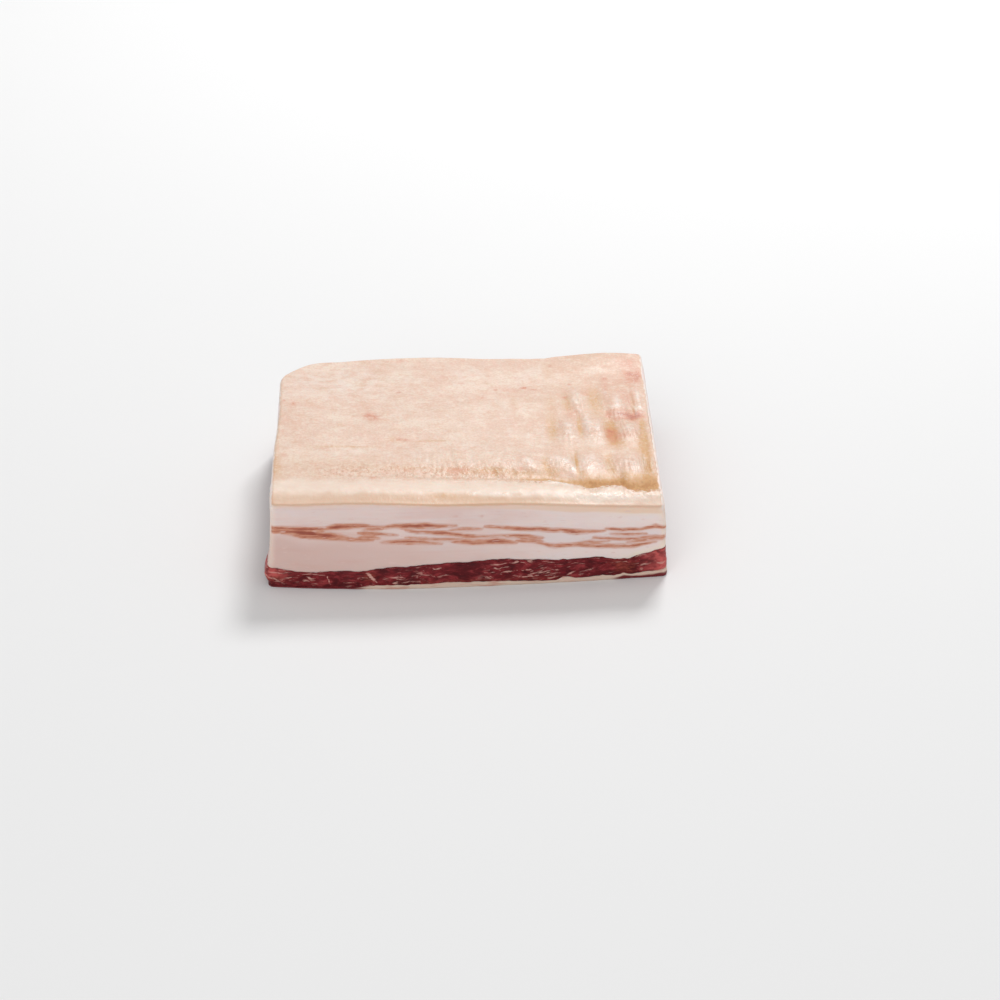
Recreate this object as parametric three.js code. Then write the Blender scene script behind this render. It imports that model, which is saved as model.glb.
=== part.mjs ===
// A slab of raw pork belly with the rind on, cut square on all four sides and laid with the rind up.
// Its layers run right through it, so each is a solid of its own: the fat under the rind, a band of thin
// lean streaks, a second layer of fat, the dark lean and the fat and membrane on the underside.
// Millimetres, +Z up. +X runs along the front cut face and +Y to the back. The origin is in the middle
// of the flat underside.

import * as THREE from "three";

// ---------------------------------------------------------------- driving dimensions

const slab = {
  width: 168,
  depth: 141.5,
  frontLeft: 39.6, // thickness of the slab near each corner
  frontRight: 34.2,
  backLeft: 37.0,
  backRight: 35.4,
  crown: 0.9,
  trimmedCornerRadius: 25, // at the back left
  otherCornerRadius: 2.4,
  hump: { height: 1.6, x: 70, y: 66, width: 17, depth: 14 }, // at the back right
};

const wall = {
  reach: 26, // how far in from a cut face its lean is taken up
  frontLean: 5.0, // how far the top of the front face stands back from its foot
  bellyX: -27, // where the foot of the front face bellies out most
  frontBowLeft: 4.2,
  frontBowRight: 5.7,
  backBowLeft: 4.1,
  backBowRight: 1.4,
  backLean: 1.4,
  trimAtFoot: 0.6, // how much of the back trim is left at the foot
  leftTopFront: 4.7, // how far in from the bounding box the left face's rind stands
  leftTopBack: 6.4,
  leftFat: 3.2, // its fat, just above the lean
  leftFoot: 2.4, // and its foot
  leftSwell: 1.9, // the lean between them swells out at the front
  swellReach: 30,
  rightTopFront: 4.5,
  rightTopBack: 2.2,
  rightFootFront: 1.8,
  rightFootBack: 0.8,
  rightFatSwell: 1.7, // the fat swells out below the rind, more towards the back
};

// Slow waves over the plan: height, length, the direction they run in and their start, both in degrees.
const ripples = {
  frontFace: [{ height: 0.3, length: 61, heading: 0, start: 20 }],
  leftFace: [{ height: 0.3, length: 74, heading: 90, start: 40 }],
  backFace: [{ height: 0.4, length: 83, heading: 0, start: 150 }],
  rind: [
    { height: 0.3, length: 64, heading: 24, start: 70 },
    { height: 0.2, length: 39, heading: 105, start: 10 },
  ],
  undersideTop: [{ height: 0.25, length: 31, heading: 15, start: 0 }],
  leanTop: [
    { height: 0.45, length: 34, heading: 20, start: 100 },
    { height: 0.3, length: 17, heading: -15, start: 40 },
    { height: 0.9, length: 190, heading: 90, start: 134 },
  ],
  streakBottom: [
    { height: 0.3, length: 43, heading: 30, start: 10 },
    { height: 0.8, length: 230, heading: 90, start: 111 },
  ],
  streakTop: [
    { height: 0.3, length: 52, heading: -20, start: 200 },
    { height: 0.6, length: 210, heading: 90, start: 121 },
  ],
};

const rind = {
  edgeRadius: 0.9,
  lipReach: 8, // the crest of the lip behind the front cut
  lipWidth: 8,
  lipRise: 1.0,
  lipFall: 1.3, // from the crest down to the cut
  lipFallWidth: 5.5,
  creaseDepthLeft: 0.25,
  creaseDepthRight: 2.2,
  creaseWidth: 6,
  creaseFrontShare: 0.6, // its front bank is this much steeper than its back one
  plainBorder: 5, // no pillows and wrinkles this near to a cut face
};

// The crease behind the lip, as X and how far behind the front cut.
const creaseLine = [
  [-84, 22.5], [-50, 22], [-34, 22.6], [-20, 23], [0, 22.8], [14, 22.3], [24, 21.8], [32, 21.2], [38, 20.8],
  [43, 19.6], [48, 17.8], [52, 17], [56, 18.8], [60, 18.9], [63, 16.4], [70, 16], [78, 16.6], [84, 16.8],
];

// Pillows of the rind, between the wrinkles: their middle, half their width and length, their height and
// how far their length leans over along X.
const pillows = [
  { x: 26.2, y: -32.5, width: 3.4, length: 6, height: 0.56, lean: -0.3 },
  { x: 41, y: -31.5, width: 5.6, length: 8, height: 0.63, lean: -0.5 },
  { x: 52.5, y: -31, width: 4.8, length: 9.5, height: 0.77, lean: 0 },
  { x: 69, y: -32, width: 5.2, length: 9, height: 0.8, lean: 0 },
  { x: 45.3, y: -3, width: 3.6, length: 10, height: 0.6, lean: 0 },
  { x: 55.5, y: -1, width: 4.4, length: 12.5, height: 0.77, lean: 0 },
  { x: 70.8, y: -4, width: 4.2, length: 9.5, height: 0.77, lean: 0.1 },
  { x: 20.5, y: -4, width: 3.4, length: 9, height: 0.25, lean: 0 },
  { x: 50.5, y: 24, width: 3.6, length: 12, height: 0.6, lean: 0 },
  { x: 67, y: 19, width: 3.4, length: 12, height: 0.66, lean: -0.15 },
  { x: -22, y: -28, width: 16, length: 6, height: 0.25, lean: 0 },
];

// Wrinkles, each from one point to another.
const wrinkles = [
  { from: [45.6, -20], to: [46.9, -42], depth: 0.55, width: 1.8 },
  { from: [59.8, -24], to: [60.2, -41], depth: 0.4, width: 3 },
  { from: [33, -22], to: [34, -42], depth: 0.3, width: 2.6 },
  { from: [49.3, 14], to: [50.6, -12], depth: 0.45, width: 1.8 },
  { from: [38.5, 8], to: [38, -14], depth: 0.35, width: 3 },
  { from: [62.4, 12], to: [63.6, -14], depth: 0.7, width: 2.8 },
  { from: [76.6, 6], to: [76.2, -24], depth: 0.4, width: 2.2 },
  { from: [44, 34], to: [47.4, 12], depth: 0.35, width: 2.6 },
  { from: [57.5, 38], to: [59, 12], depth: 0.45, width: 3.2 },
];

// Where the knife went off the straight line at the back, as X and how far out.
const backTrim = [
  [-84, -4.6], [-70, -4], [-60, -3.5], [-53, -3.2], [-44, -2.4], [-35, -1.7], [-26, -0.8], [-17, 0.1],
  [-8, 0.6], [1, 0.2], [10, -1.2], [18, -1.9], [25, -2.3], [32, -3.2], [39, -3], [44, -1.4], [50, -0.4],
  [57, 0.6], [66, 1.2], [84, 1],
];

// Along the front the top of the lean and of the underside's fat wander, as X and height.
const frontLines = {
  reach: [6, 40], // how far behind the front they are still whole, and where they are gone
  leanTop: [
    [-84, 9.4], [-78, 8.6], [-70, 7.8], [-62, 7.4], [-56, 7.9], [-50, 8.1], [-44, 7.8], [-36, 9.1],
    [-31, 9.8], [-22, 9.7], [-16, 10.4], [-8, 10.6], [0, 10.9], [8, 11.5], [16, 11.6], [24, 11],
    [37, 10.5], [45, 10.8], [53, 11], [58, 10], [64, 9.4], [69, 10.3], [76, 11.7], [79, 12.9], [84, 13.4],
  ],
  undersideTop: [
    [-84, 0.7], [-46, 0.75], [-42, 1.1], [-38, 1.7], [-33, 2.1], [-26, 1.9], [-12, 2.4], [6, 2.4],
    [15, 2], [22, 1.7], [36, 1.4], [40, 2.9], [44, 2], [55, 2.3], [60, 2], [64, 2.7], [68, 2.2],
    [73, 2.6], [78, 3.2], [84, 3.5],
  ],
};

const gap = 0.3; // clearance between touching layers

// The surfaces between the layers run from one height to another over a stretch along X, and some turn
// up at the left or right cut face.
const surfaces = {
  undersideTop: { left: 0.75, right: 2.2, from: -47, to: -33 },
  leanTop: { left: 7.9, right: 10.9, from: -50, to: 6 },
  streakBottom: { left: 22.2, right: 15.2, from: -60, to: 62 },
  streakTop: { left: 28.0, right: 23.2, from: -28, to: 60 },
};

const turnUps = {
  undersideTop: [{ height: 1.1, from: 38, to: 70 }],
  leanTop: [{ height: 1.8, from: 64, to: 81 }],
  streakBottom: [
    { height: 2.4, from: -64, to: -81 },
    { height: 2.0, from: 68, to: 81 },
  ],
  streakTop: [{ height: 1.2, from: 68, to: 81 }],
};

const facets = {
  coarse: 5.2, // pitch of the grid over smooth rind
  fine: 2.5, // and over the wrinkles and the lip
  edge: [0, 0.3, 0.9, 2.6], // steps in from each cut face, round the rolled edge
  capRings: [0.93, 0.6], // rings of a hidden face, each with half as many points as the one outside it
};

const halfWidth = slab.width / 2;
const halfDepth = slab.depth / 2;
const frontCut = -halfDepth + wall.frontLean;

// ---------------------------------------------------------------- small helpers

const mix = (a, b, t) => a + (b - a) * t;

const total = (items, value) => items.reduce((sum, item) => sum + value(item), 0);

function ease(from, to, value) {
  const t = THREE.MathUtils.clamp((value - from) / (to - from), 0, 1);
  return t * t * (3 - 2 * t);
}

function ripple(waves, x, y) {
  const { degToRad } = THREE.MathUtils;
  return total(waves, ({ height, length, heading, start }) => {
    const along = x * Math.cos(degToRad(heading)) + y * Math.sin(degToRad(heading));
    return height * Math.sin((2 * Math.PI * along) / length + degToRad(start));
  });
}

const bump = (value, middle, width) => Math.exp(-(((value - middle) / width) ** 2));

// Reads a line drawn as points of X and value.
function along(line, x) {
  const next = line.findIndex((point) => point[0] >= x);
  if (next === 0) return line[0][1];
  if (next < 0) return line.at(-1)[1];
  const [low, high] = [line[next - 1], line[next]];
  return mix(low[1], high[1], (x - low[0]) / (high[0] - low[0]));
}

// ---------------------------------------------------------------- the outline in plan

// Draws the corner of a rectangular grid in to an arc: points within the corner's square move onto circles.
function roundCorner(x, y) {
  const radius = x < 0 && y > 0 ? slab.trimmedCornerRadius : slab.otherCornerRadius;
  const dx = Math.abs(x) - (halfWidth - radius);
  const dy = Math.abs(y) - (halfDepth - radius);
  if (dx <= 0 || dy <= 0) return [x, y];
  const squeeze = Math.max(dx, dy) / Math.hypot(dx, dy);
  return [
    Math.sign(x) * (halfWidth - radius + dx * squeeze),
    Math.sign(y) * (halfDepth - radius + dy * squeeze),
  ];
}

// How far along towards the left or right face a point lies from where the slab is deepest, 0 to 1.
const fromBelly = (x) =>
  Math.abs(x - wall.bellyX) / (halfWidth + Math.sign(wall.bellyX - x) * wall.bellyX);

// The shares of the height where the lean ends at the left and where the right face's fat swells most.
const leanShare = 0.25;
const fatShare = 0.78;

// How far a cut face stands in from the slab's bounding box, at a share of its height from 0 to 1.
function frontInset(x, share) {
  const bow = x < wall.bellyX ? wall.frontBowLeft : wall.frontBowRight;
  const foot = bow * fromBelly(x) ** 1.6;
  return mix(foot, wall.frontLean + ripple(ripples.frontFace, x, 0), ease(0, 0.75, share));
}

function leftInset(y, share) {
  const top = mix(wall.leftTopFront, wall.leftTopBack, y / slab.depth + 0.5);
  const fat = mix(wall.leftFat, top, (share - leanShare) / (1 - leanShare));
  const lean = mix(wall.leftFoot, wall.leftFat, share / leanShare);
  const near = ease(wall.swellReach, wall.swellReach / 4, y + halfDepth);
  const swell = wall.leftSwell * near * bump(share, 0.64 * leanShare, 0.36 * leanShare);
  return (share > leanShare ? fat : lean) - swell + ripple(ripples.leftFace, 0, y);
}

function rightInset(y, share) {
  const back = y / slab.depth + 0.5;
  const top = mix(wall.rightTopFront, wall.rightTopBack, back);
  const foot = mix(wall.rightFootFront, wall.rightFootBack, back);
  const swell = wall.rightFatSwell * bump(share, fatShare, 1 - fatShare) * mix(0.4, 1, back);
  return mix(foot, top, share) - swell;
}

function backInset(x, share) {
  const bow = x < wall.bellyX ? wall.backBowLeft : wall.backBowRight;
  const trim = along(backTrim, x) * mix(wall.trimAtFoot, 1, share);
  return bow * fromBelly(x) ** 2 + wall.backLean * share + ripple(ripples.backFace, x, 0) - trim;
}

// Moves a point of the plain block to where the leaning and bowed cut faces put it.
function shift(x, y, share) {
  const near = (distance) => ease(wall.reach, 0, distance);
  const dx =
    leftInset(y, share) * near(x + halfWidth) - rightInset(y, share) * near(halfWidth - x);
  const dy =
    frontInset(x, share) * near(y + halfDepth) - backInset(x, share) * near(halfDepth - y);
  return [x + dx, y + dy];
}

// ---------------------------------------------------------------- heights

// Distance in from the nearest cut edge, in plan, of a point of the plain block.
function edgeDistance(x, y) {
  const radius = x < 0 && y > 0 ? slab.trimmedCornerRadius : slab.otherCornerRadius;
  const dx = Math.abs(x) - (halfWidth - radius);
  const dy = Math.abs(y) - (halfDepth - radius);
  return radius - (dx > 0 && dy > 0 ? Math.hypot(dx, dy) : Math.max(dx, dy));
}

function rolledEdge(distance) {
  const inward = Math.max(0, rind.edgeRadius - distance);
  return rind.edgeRadius - Math.sqrt(Math.max(0, rind.edgeRadius ** 2 - inward ** 2));
}

// The lip along the front cut, and the crease behind it, which is deeper and nearer the cut on the right.
function lipAndCrease(x, behind) {
  const depth = mix(rind.creaseDepthLeft, rind.creaseDepthRight, ease(-halfWidth, halfWidth, x));
  const crease = along(creaseLine, x);
  const width = rind.creaseWidth * (behind < crease ? rind.creaseFrontShare : 1);
  return (
    rind.lipRise * bump(behind, rind.lipReach, rind.lipWidth) -
    rind.lipFall * bump(behind, 0, rind.lipFallWidth) -
    depth * bump(behind, crease, width)
  );
}

function pillowHeight(x, y) {
  return total(pillows, (pillow) => {
    const across = (x - pillow.x - pillow.lean * (y - pillow.y)) / pillow.width;
    const up = (y - pillow.y) / pillow.length;
    return pillow.height * Math.exp(-((across ** 2 + up ** 2) ** 1.2));
  });
}

function wrinkleDepth(x, y) {
  return total(wrinkles, ({ from, to, depth, width }) => {
    const run = [to[0] - from[0], to[1] - from[1]];
    const length = Math.hypot(...run);
    const share = ((x - from[0]) * run[0] + (y - from[1]) * run[1]) / length ** 2;
    const side = ((x - from[0]) * run[1] - (y - from[1]) * run[0]) / length;
    const ends = ease(-0.3, 0.35, share) * ease(1.3, 0.65, share); // it starts and ends softly
    return depth * ends * bump(side, 0, width);
  });
}

// Height of the rind at a finished point of the plan, before its rolled edge, pillows and wrinkles.
function rindHeight(x, y) {
  const right = x / slab.width + 0.5;
  const back = y / slab.depth + 0.5;
  const plain = mix(
    mix(slab.frontLeft, slab.frontRight, right),
    mix(slab.backLeft, slab.backRight, right),
    back,
  );
  const crowned = slab.crown * (1 - (2 * right - 1) ** 2) * (1 - (2 * back - 1) ** 2);
  const { hump } = slab;
  const humped = hump.height * bump(x, hump.x, hump.width) * bump(y, hump.y, hump.depth);
  return plain + crowned + humped + ripple(ripples.rind, x, y) + lipAndCrease(x, y - frontCut);
}

// Height of the rind over a point of the plain block.
function rimHeight(x, y) {
  const distance = edgeDistance(x, y);
  const [px, py] = shift(x, y, 1);
  const relief = pillowHeight(px, py) - wrinkleDepth(px, py);
  return rindHeight(px, py) + relief * ease(0, rind.plainBorder, distance) - rolledEdge(distance);
}

// Height of a surface between two layers, over the plain block.
function surfaceHeight(name, x, y) {
  const { left, right, from, to } = surfaces[name];
  const turned = total(turnUps[name], (turn) => turn.height * ease(turn.from, turn.to, x));
  const height = mix(left, right, ease(from, to, x)) + turned + ripple(ripples[name], x, y);
  if (!(name in frontLines)) return height;
  const [whole, gone] = frontLines.reach;
  return mix(height, along(frontLines[name], x), ease(gone, whole, y + halfDepth));
}

const ground = () => 0;

// ---------------------------------------------------------------- the grid over the plan

// Positions across one side of the slab: close steps by the cut faces, then fine or coarse ones.
function stations(half, isFine) {
  const inner = facets.edge.at(-1);
  const along = facets.edge.map((step) => -half + step);
  for (let at = -half + inner; at < half - inner - facets.fine; ) {
    at += isFine(at) ? facets.fine : facets.coarse;
    along.push(Math.min(at, half - inner));
  }
  if (half - inner - along.at(-1) > 0) along.push(half - inner);
  for (const step of facets.edge.slice(0, -1).reverse()) along.push(half - step);
  return along;
}

const acrossX = stations(halfWidth, (x) => x > 6);
const acrossY = stations(halfDepth, (y) => y < 8);
if (acrossX.length % 2) acrossX.splice(6, 1);
if (acrossY.length % 2) acrossY.splice(-6, 1);

// The grid's outermost points, anticlockwise from the front left corner.
function outlinePoints() {
  const lastX = acrossX.length - 1;
  const lastY = acrossY.length - 1;
  const points = [];
  for (let i = 0; i < lastX; i++) points.push([i, 0]);
  for (let j = 0; j < lastY; j++) points.push([lastX, j]);
  for (let i = lastX; i > 0; i--) points.push([i, lastY]);
  for (let j = lastY; j > 0; j--) points.push([0, j]);
  return points.map(([i, j]) => roundCorner(acrossX[i], acrossY[j]));
}

const outline = outlinePoints();

// ---------------------------------------------------------------- building one layer

// Gathers points and triangles, and gives one geometry whose shared points are shared.
class Skin {
  constructor() {
    this.points = [];
    this.faces = [];
  }

  add(x, y, z) {
    this.points.push(x, y, z);
    return this.points.length / 3 - 1;
  }

  quad(a, b, c, d) {
    this.faces.push(a, b, c, a, c, d);
  }

  geometry() {
    const made = new THREE.BufferGeometry();
    made.setAttribute("position", new THREE.Float32BufferAttribute(this.points, 3));
    made.setIndex(this.faces);
    made.computeVertexNormals();
    return made;
  }
}

// One row of wall points at the given height function.
function wallRow(skin, height) {
  return outline.map(([x, y]) => {
    const z = height(x, y);
    return skin.add(...shift(x, y, z / rimHeight(x, y)), z);
  });
}

function joinRows(skin, lower, upper) {
  lower.forEach((_, k) => {
    const next = (k + 1) % lower.length;
    skin.quad(lower[k], lower[next], upper[next], upper[k]);
  });
}

// Closes a ring of wall points with a hidden face: rings of half as many points each, then a middle point.
function hiddenFace(skin, ring, height, facesUp) {
  const triangle = (a, b, c) => skin.faces.push(a, ...(facesUp ? [b, c] : [c, b]));
  let outer = ring;
  let plan = outline;
  for (const scale of facets.capRings) {
    plan = plan.filter((_, k) => k % 2 === 0);
    const inner = plan.map(([x, y]) => {
      const [px, py] = [x * scale, y * scale];
      const z = height(px, py);
      return skin.add(...shift(px, py, z / rimHeight(px, py)), z);
    });
    inner.forEach((point, k) => {
      const next = (k + 1) % inner.length;
      const [first, middle, last] = [2 * k, 2 * k + 1, (2 * k + 2) % outer.length];
      triangle(outer[first], outer[middle], point);
      triangle(outer[middle], inner[next], point);
      triangle(outer[middle], outer[last], inner[next]);
    });
    outer = inner;
  }
  const middle = skin.add(0, 0, height(0, 0));
  outer.forEach((point, k) => triangle(point, outer[(k + 1) % outer.length], middle));
}

// The rind over the whole grid, whose outermost points are the top row of the wall.
function rindFace(skin, ring) {
  const lastX = acrossX.length - 1;
  const lastY = acrossY.length - 1;
  const onRing = (i, j) => {
    if (j === 0) return ring[i];
    if (i === lastX) return ring[lastX + j];
    if (j === lastY) return ring[lastX + lastY + (lastX - i)];
    if (i === 0) return ring[2 * lastX + lastY + (lastY - j)];
    return undefined;
  };
  const grid = acrossX.map((gx, i) =>
    acrossY.map((gy, j) => {
      const [x, y] = roundCorner(gx, gy);
      return onRing(i, j) ?? skin.add(...shift(x, y, 1), rimHeight(x, y));
    }),
  );
  for (let i = 0; i < lastX; i++)
    for (let j = 0; j < lastY; j++)
      skin.quad(grid[i][j], grid[i + 1][j], grid[i + 1][j + 1], grid[i][j + 1]);
}

// A layer between two height functions, with its wall in equal rows.
function layer(name, bottom, top, rows, colour, roughness, hasRind = false) {
  const skin = new Skin();
  const at = (share) => (x, y) => mix(bottom(x, y), top(x, y), share);
  const rings = [];
  for (let row = 0; row <= rows; row++) rings.push(wallRow(skin, at(row / rows)));
  for (let row = 0; row < rows; row++) joinRows(skin, rings[row], rings[row + 1]);
  hiddenFace(skin, rings[0], bottom, false);
  if (hasRind) rindFace(skin, rings[rows]);
  else hiddenFace(skin, rings[rows], top, true);
  const material = new THREE.MeshStandardMaterial({ color: colour, roughness, metalness: 0 });
  const mesh = new THREE.Mesh(skin.geometry(), material);
  mesh.name = name;
  return mesh;
}

const above = (name) => (x, y) => surfaceHeight(name, x, y) + gap / 2;
const below = (name) => (x, y) => surfaceHeight(name, x, y) - gap / 2;

// ---------------------------------------------------------------- the slab

const colours = { fat: 0xe9d5cb, streaked: 0xd9b4a4, lean: 0x6e1f24, underside: 0xe0c8bd };

const porkBelly = new THREE.Group();
porkBelly.add(
  layer("underside_fat", ground, below("undersideTop"), 1, colours.underside, 0.45),
  layer("lean_meat", above("undersideTop"), below("leanTop"), 3, colours.lean, 0.4),
  layer("inner_fat", above("leanTop"), below("streakBottom"), 1, colours.fat, 0.5),
  layer("streaky_lean", above("streakBottom"), below("streakTop"), 1, colours.streaked, 0.5),
  layer("fat_cap", above("streakTop"), rimHeight, 2, colours.fat, 0.5, true),
);

// The cut faces lean and bow unevenly, so the finished block is centred over the origin.
const box = new THREE.Box3().setFromObject(porkBelly);
const middle = box.getCenter(new THREE.Vector3());
porkBelly.position.set(-middle.x, -middle.y, -box.min.z);

export default porkBelly;
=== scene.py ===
"""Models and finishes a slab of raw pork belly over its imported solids, and lights it on a pale floor."""

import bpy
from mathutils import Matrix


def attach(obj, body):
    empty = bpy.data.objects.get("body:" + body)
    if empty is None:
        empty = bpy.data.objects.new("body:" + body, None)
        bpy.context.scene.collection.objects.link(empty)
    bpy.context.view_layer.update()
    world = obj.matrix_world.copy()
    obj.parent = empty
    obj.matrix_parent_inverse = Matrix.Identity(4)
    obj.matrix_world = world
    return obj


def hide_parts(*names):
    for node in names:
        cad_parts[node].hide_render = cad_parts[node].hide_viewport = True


bl_info = {
    "name": "Pork Belly Slab",
    "version": (1, 0, 0),
    "blender": (4, 5, 0),
    "location": "3D View > Sidebar > Pork Belly",
    "description": "Models a slab of raw pork belly with its rind, fat and lean, and its studio",
    "category": "Object",
}

import math

import bpy
import numpy as np
from mathutils import Vector, noise

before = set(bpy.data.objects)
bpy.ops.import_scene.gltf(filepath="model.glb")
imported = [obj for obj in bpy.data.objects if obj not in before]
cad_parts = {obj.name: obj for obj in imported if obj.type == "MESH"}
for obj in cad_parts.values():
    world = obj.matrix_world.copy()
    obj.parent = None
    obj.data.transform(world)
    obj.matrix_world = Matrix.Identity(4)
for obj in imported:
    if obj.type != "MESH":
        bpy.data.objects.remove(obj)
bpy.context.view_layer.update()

MM = 0.001


# ------------------------------------------------------------------ sizes of the slab, in millimetres
# The plain block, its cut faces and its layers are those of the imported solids.


class Block:
    width = 168.0
    depth = 141.5
    front_left, front_right = 39.6, 34.2
    back_left, back_right = 37.0, 35.4
    crown = 0.9
    trimmed_corner = 25.0
    other_corner = 2.4
    hump = {"height": 1.6, "x": 70, "y": 66, "width": 17, "depth": 14}
    to_origin = (-0.451, 0.026)  # from the plain block's middle to the finished slab's
    half_width = width / 2
    half_depth = depth / 2


class Wall:
    reach = 26.0
    front_lean, front_lean_share = 5.0, 0.75
    belly_x = -27.0
    front_bow_left, front_bow_right, front_bow_power = 4.2, 5.7, 1.6
    back_bow_left, back_bow_right = 4.1, 1.4
    back_lean, trim_foot = 1.4, 0.6
    left_top_front, left_top_back = 4.7, 6.4
    left_fat, left_foot = 3.2, 2.4
    left_swell, swell_reach = 1.9, 30.0
    swell_middle, swell_half = 0.64, 0.36
    right_top_front, right_top_back = 4.5, 2.2
    right_foot_front, right_foot_back = 1.8, 0.8
    right_fat_swell, right_swell_front = 1.7, 0.4
    lean_share, fat_share = 0.25, 0.78


class Rind:
    edge_radius = 0.9
    cut_edge = 0.35
    side_border_left, side_border_right = 0.7, 1.3
    lip_reach_left, lip_reach_right = 7.5, 8.5
    lip_width, lip_rise = 8.0, 1.0
    lip_fall, lip_fall_width = 1.3, 5.5
    crease_depth_left, crease_depth_right = 0.25, 2.2
    crease_width, crease_front_share = 6.0, 0.45
    pillow_power, pleat_power, patch_power = 1.2, 1.4, 1.2
    wrinkle_bend, wrinkle_wander = 0.5, 0.3


FRONT_CUT = -Block.half_depth + Wall.front_lean
GAP = 0.05  # between touching layers
OUTSIDE = -4.0  # how deep a point far outside every stroke lies
EDGE_TOLERANCE = 0.01  # how near to the plan's edge a point of a wall is
ON_WALL = 0.999  # how far out, as a share, a point of a layer's wall is

# How each ring that closes a wall shrinks the one before it.
TOP_RINGS = (0.99, 0.985, 0.975, 0.6, 0.3)
BASE_RINGS = (0.99, 0.6, 0.3)

CROWDING = 0.3  # how much closer together the grid lines of the rind get towards its edges
DRIFT_ALONG, DRIFT_LEVEL = 22, 1.6  # how far the layers drift on the faces other than the front
COAT_ROUGHNESS = 0.22
WARP = (5.0, 5.0, 5.0)  # how far the grain of the lean wanders

# A surface between two layers goes from its left height to its right one over a stretch along X.
SURFACES = {
    "underside_top": (0.75, 2.2, -47, -33),
    "lean_top": (7.9, 10.9, -50, 6),
    "streak_bottom": (22.2, 15.2, -60, 62),
    "streak_top": (28.0, 23.2, -28, 60),
}

# What turns a surface up at an end: its height, and where along X it starts and ends.
TURN_UPS = {
    "underside_top": [(1.1, 38, 70)],
    "lean_top": [(1.8, 64, 81)],
    "streak_bottom": [(2.4, -64, -81), (2.0, 68, 81)],
    "streak_top": [(1.2, 68, 81)],
}

# Slow waves over the plan: height, length, heading and start, the last two in degrees.
RIPPLES = {
    "front_face": [(0.3, 61, 0, 20)],
    "left_face": [(0.3, 74, 90, 40)],
    "back_face": [(0.4, 83, 0, 150)],
    "rind": [(0.3, 64, 24, 70), (0.2, 39, 105, 10)],
    "underside_top": [(0.25, 31, 15, 0)],
    "lean_top": [(0.45, 34, 20, 100), (0.3, 17, -15, 40), (0.9, 190, 90, 134)],
    "streak_bottom": [(0.3, 43, 30, 10), (0.8, 230, 90, 111)],
    "streak_top": [(0.3, 52, -20, 200), (0.6, 210, 90, 121)],
}

# Where the knife went off the straight line at the back: X and how far out.
BACK_TRIM = [
    (-84, -2.6), (-76, -2.2), (-70, -2.5), (-65, -2.8), (-60, -3), (-53, -3.2), (-44, -2.4), (-35, -1.7),
    (-26, -0.8), (-17, 0.1), (-8, 0.6), (1, 0.2), (10, -1.2), (18, -1.9), (25, -2.3), (32, -3.2), (39, -3),
    (44, -1.4), (50, -0.4), (57, 0.6), (66, 1.2), (84, 1),
]

# The crease behind the lip, measured from the front cut: X and distance.
CREASE_LINE = [
    (-84, 22.5), (-50, 22), (-34, 22.6), (-20, 23), (0, 22.8), (14, 22.3), (24, 21.8), (32, 21.2),
    (38, 20.8), (43, 19.2), (48, 16.8), (52, 15.8), (56, 17.2), (60, 18.2), (64, 17.8), (66, 14.8),
    (70, 14.2), (84, 14.8),
]

# How strong the tan strip along the front rim is: X and strength.
RIM_TAN = [(-84, 0.56), (-30, 0.78), (0, 0.98), (20, 0.92), (34, 0.60), (50, 0.30), (84, 0.18)]

# Along the front the lean's top and the underside's top wander: X and height.
FRONT_LEAN_TOP = [
    (-84, 9.4), (-78, 8.6), (-70, 7.8), (-62, 7.4), (-56, 7.9), (-50, 8.1), (-44, 7.8), (-41, 8.1),
    (-36, 9.1), (-31, 9.8), (-27, 9.5), (-22, 9.7), (-16, 10.4), (-8, 10.6), (0, 10.9), (8, 11.5),
    (16, 11.6), (24, 11), (31, 10.9), (37, 10.5), (45, 10.8), (53, 11), (58, 10), (62, 9.5), (66, 9.4),
    (69, 10.3), (72, 11.1), (76, 11.7), (79, 12.9), (84, 13.4),
]
FRONT_UNDERSIDE_TOP = [
    (-84, 0.7), (-46, 0.75), (-42, 1.1), (-38, 1.7), (-33, 2.1), (-26, 1.9), (-18, 2.1), (-12, 2.4),
    (0, 2.4), (6, 2.4), (15, 2), (22, 1.7), (30, 1.5), (36, 1.4), (39, 2.5), (41, 2.9), (44, 2), (50, 2),
    (55, 2.3), (60, 2), (64, 2.7), (68, 2.2), (73, 2.6), (78, 3.2), (84, 3.5),
]

FRONT_LINES = {"lean_top": FRONT_LEAN_TOP, "underside_top": FRONT_UNDERSIDE_TOP}

# Pillows of the rind: middle in X and Y, half width, half length, height and lean of the length.
PILLOWS = [
    (26.2, -32.5, 3.4, 6, 0.8, -0.3), (41, -31.5, 5.6, 8, 0.9, -0.5), (52.5, -31, 4.8, 9.5, 1.1, 0),
    (69, -32, 5.2, 9, 1.15, 0), (45.3, -3, 3.6, 10, 0.85, 0), (55.5, -1, 4.4, 12.5, 1.1, 0),
    (70.8, -4, 4.2, 9.5, 1.1, 0.1), (20.5, -4, 3.4, 9, 0.35, 0), (28, -4, 3, 8, 0.3, 0),
    (50.5, 24, 3.6, 12, 0.85, 0), (67, 19, 3.4, 12, 0.95, -0.15), (76.4, 24, 1.9, 13, 0.5, 0),
    (-22, -28, 16, 6, 0.35, 0),
]

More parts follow.
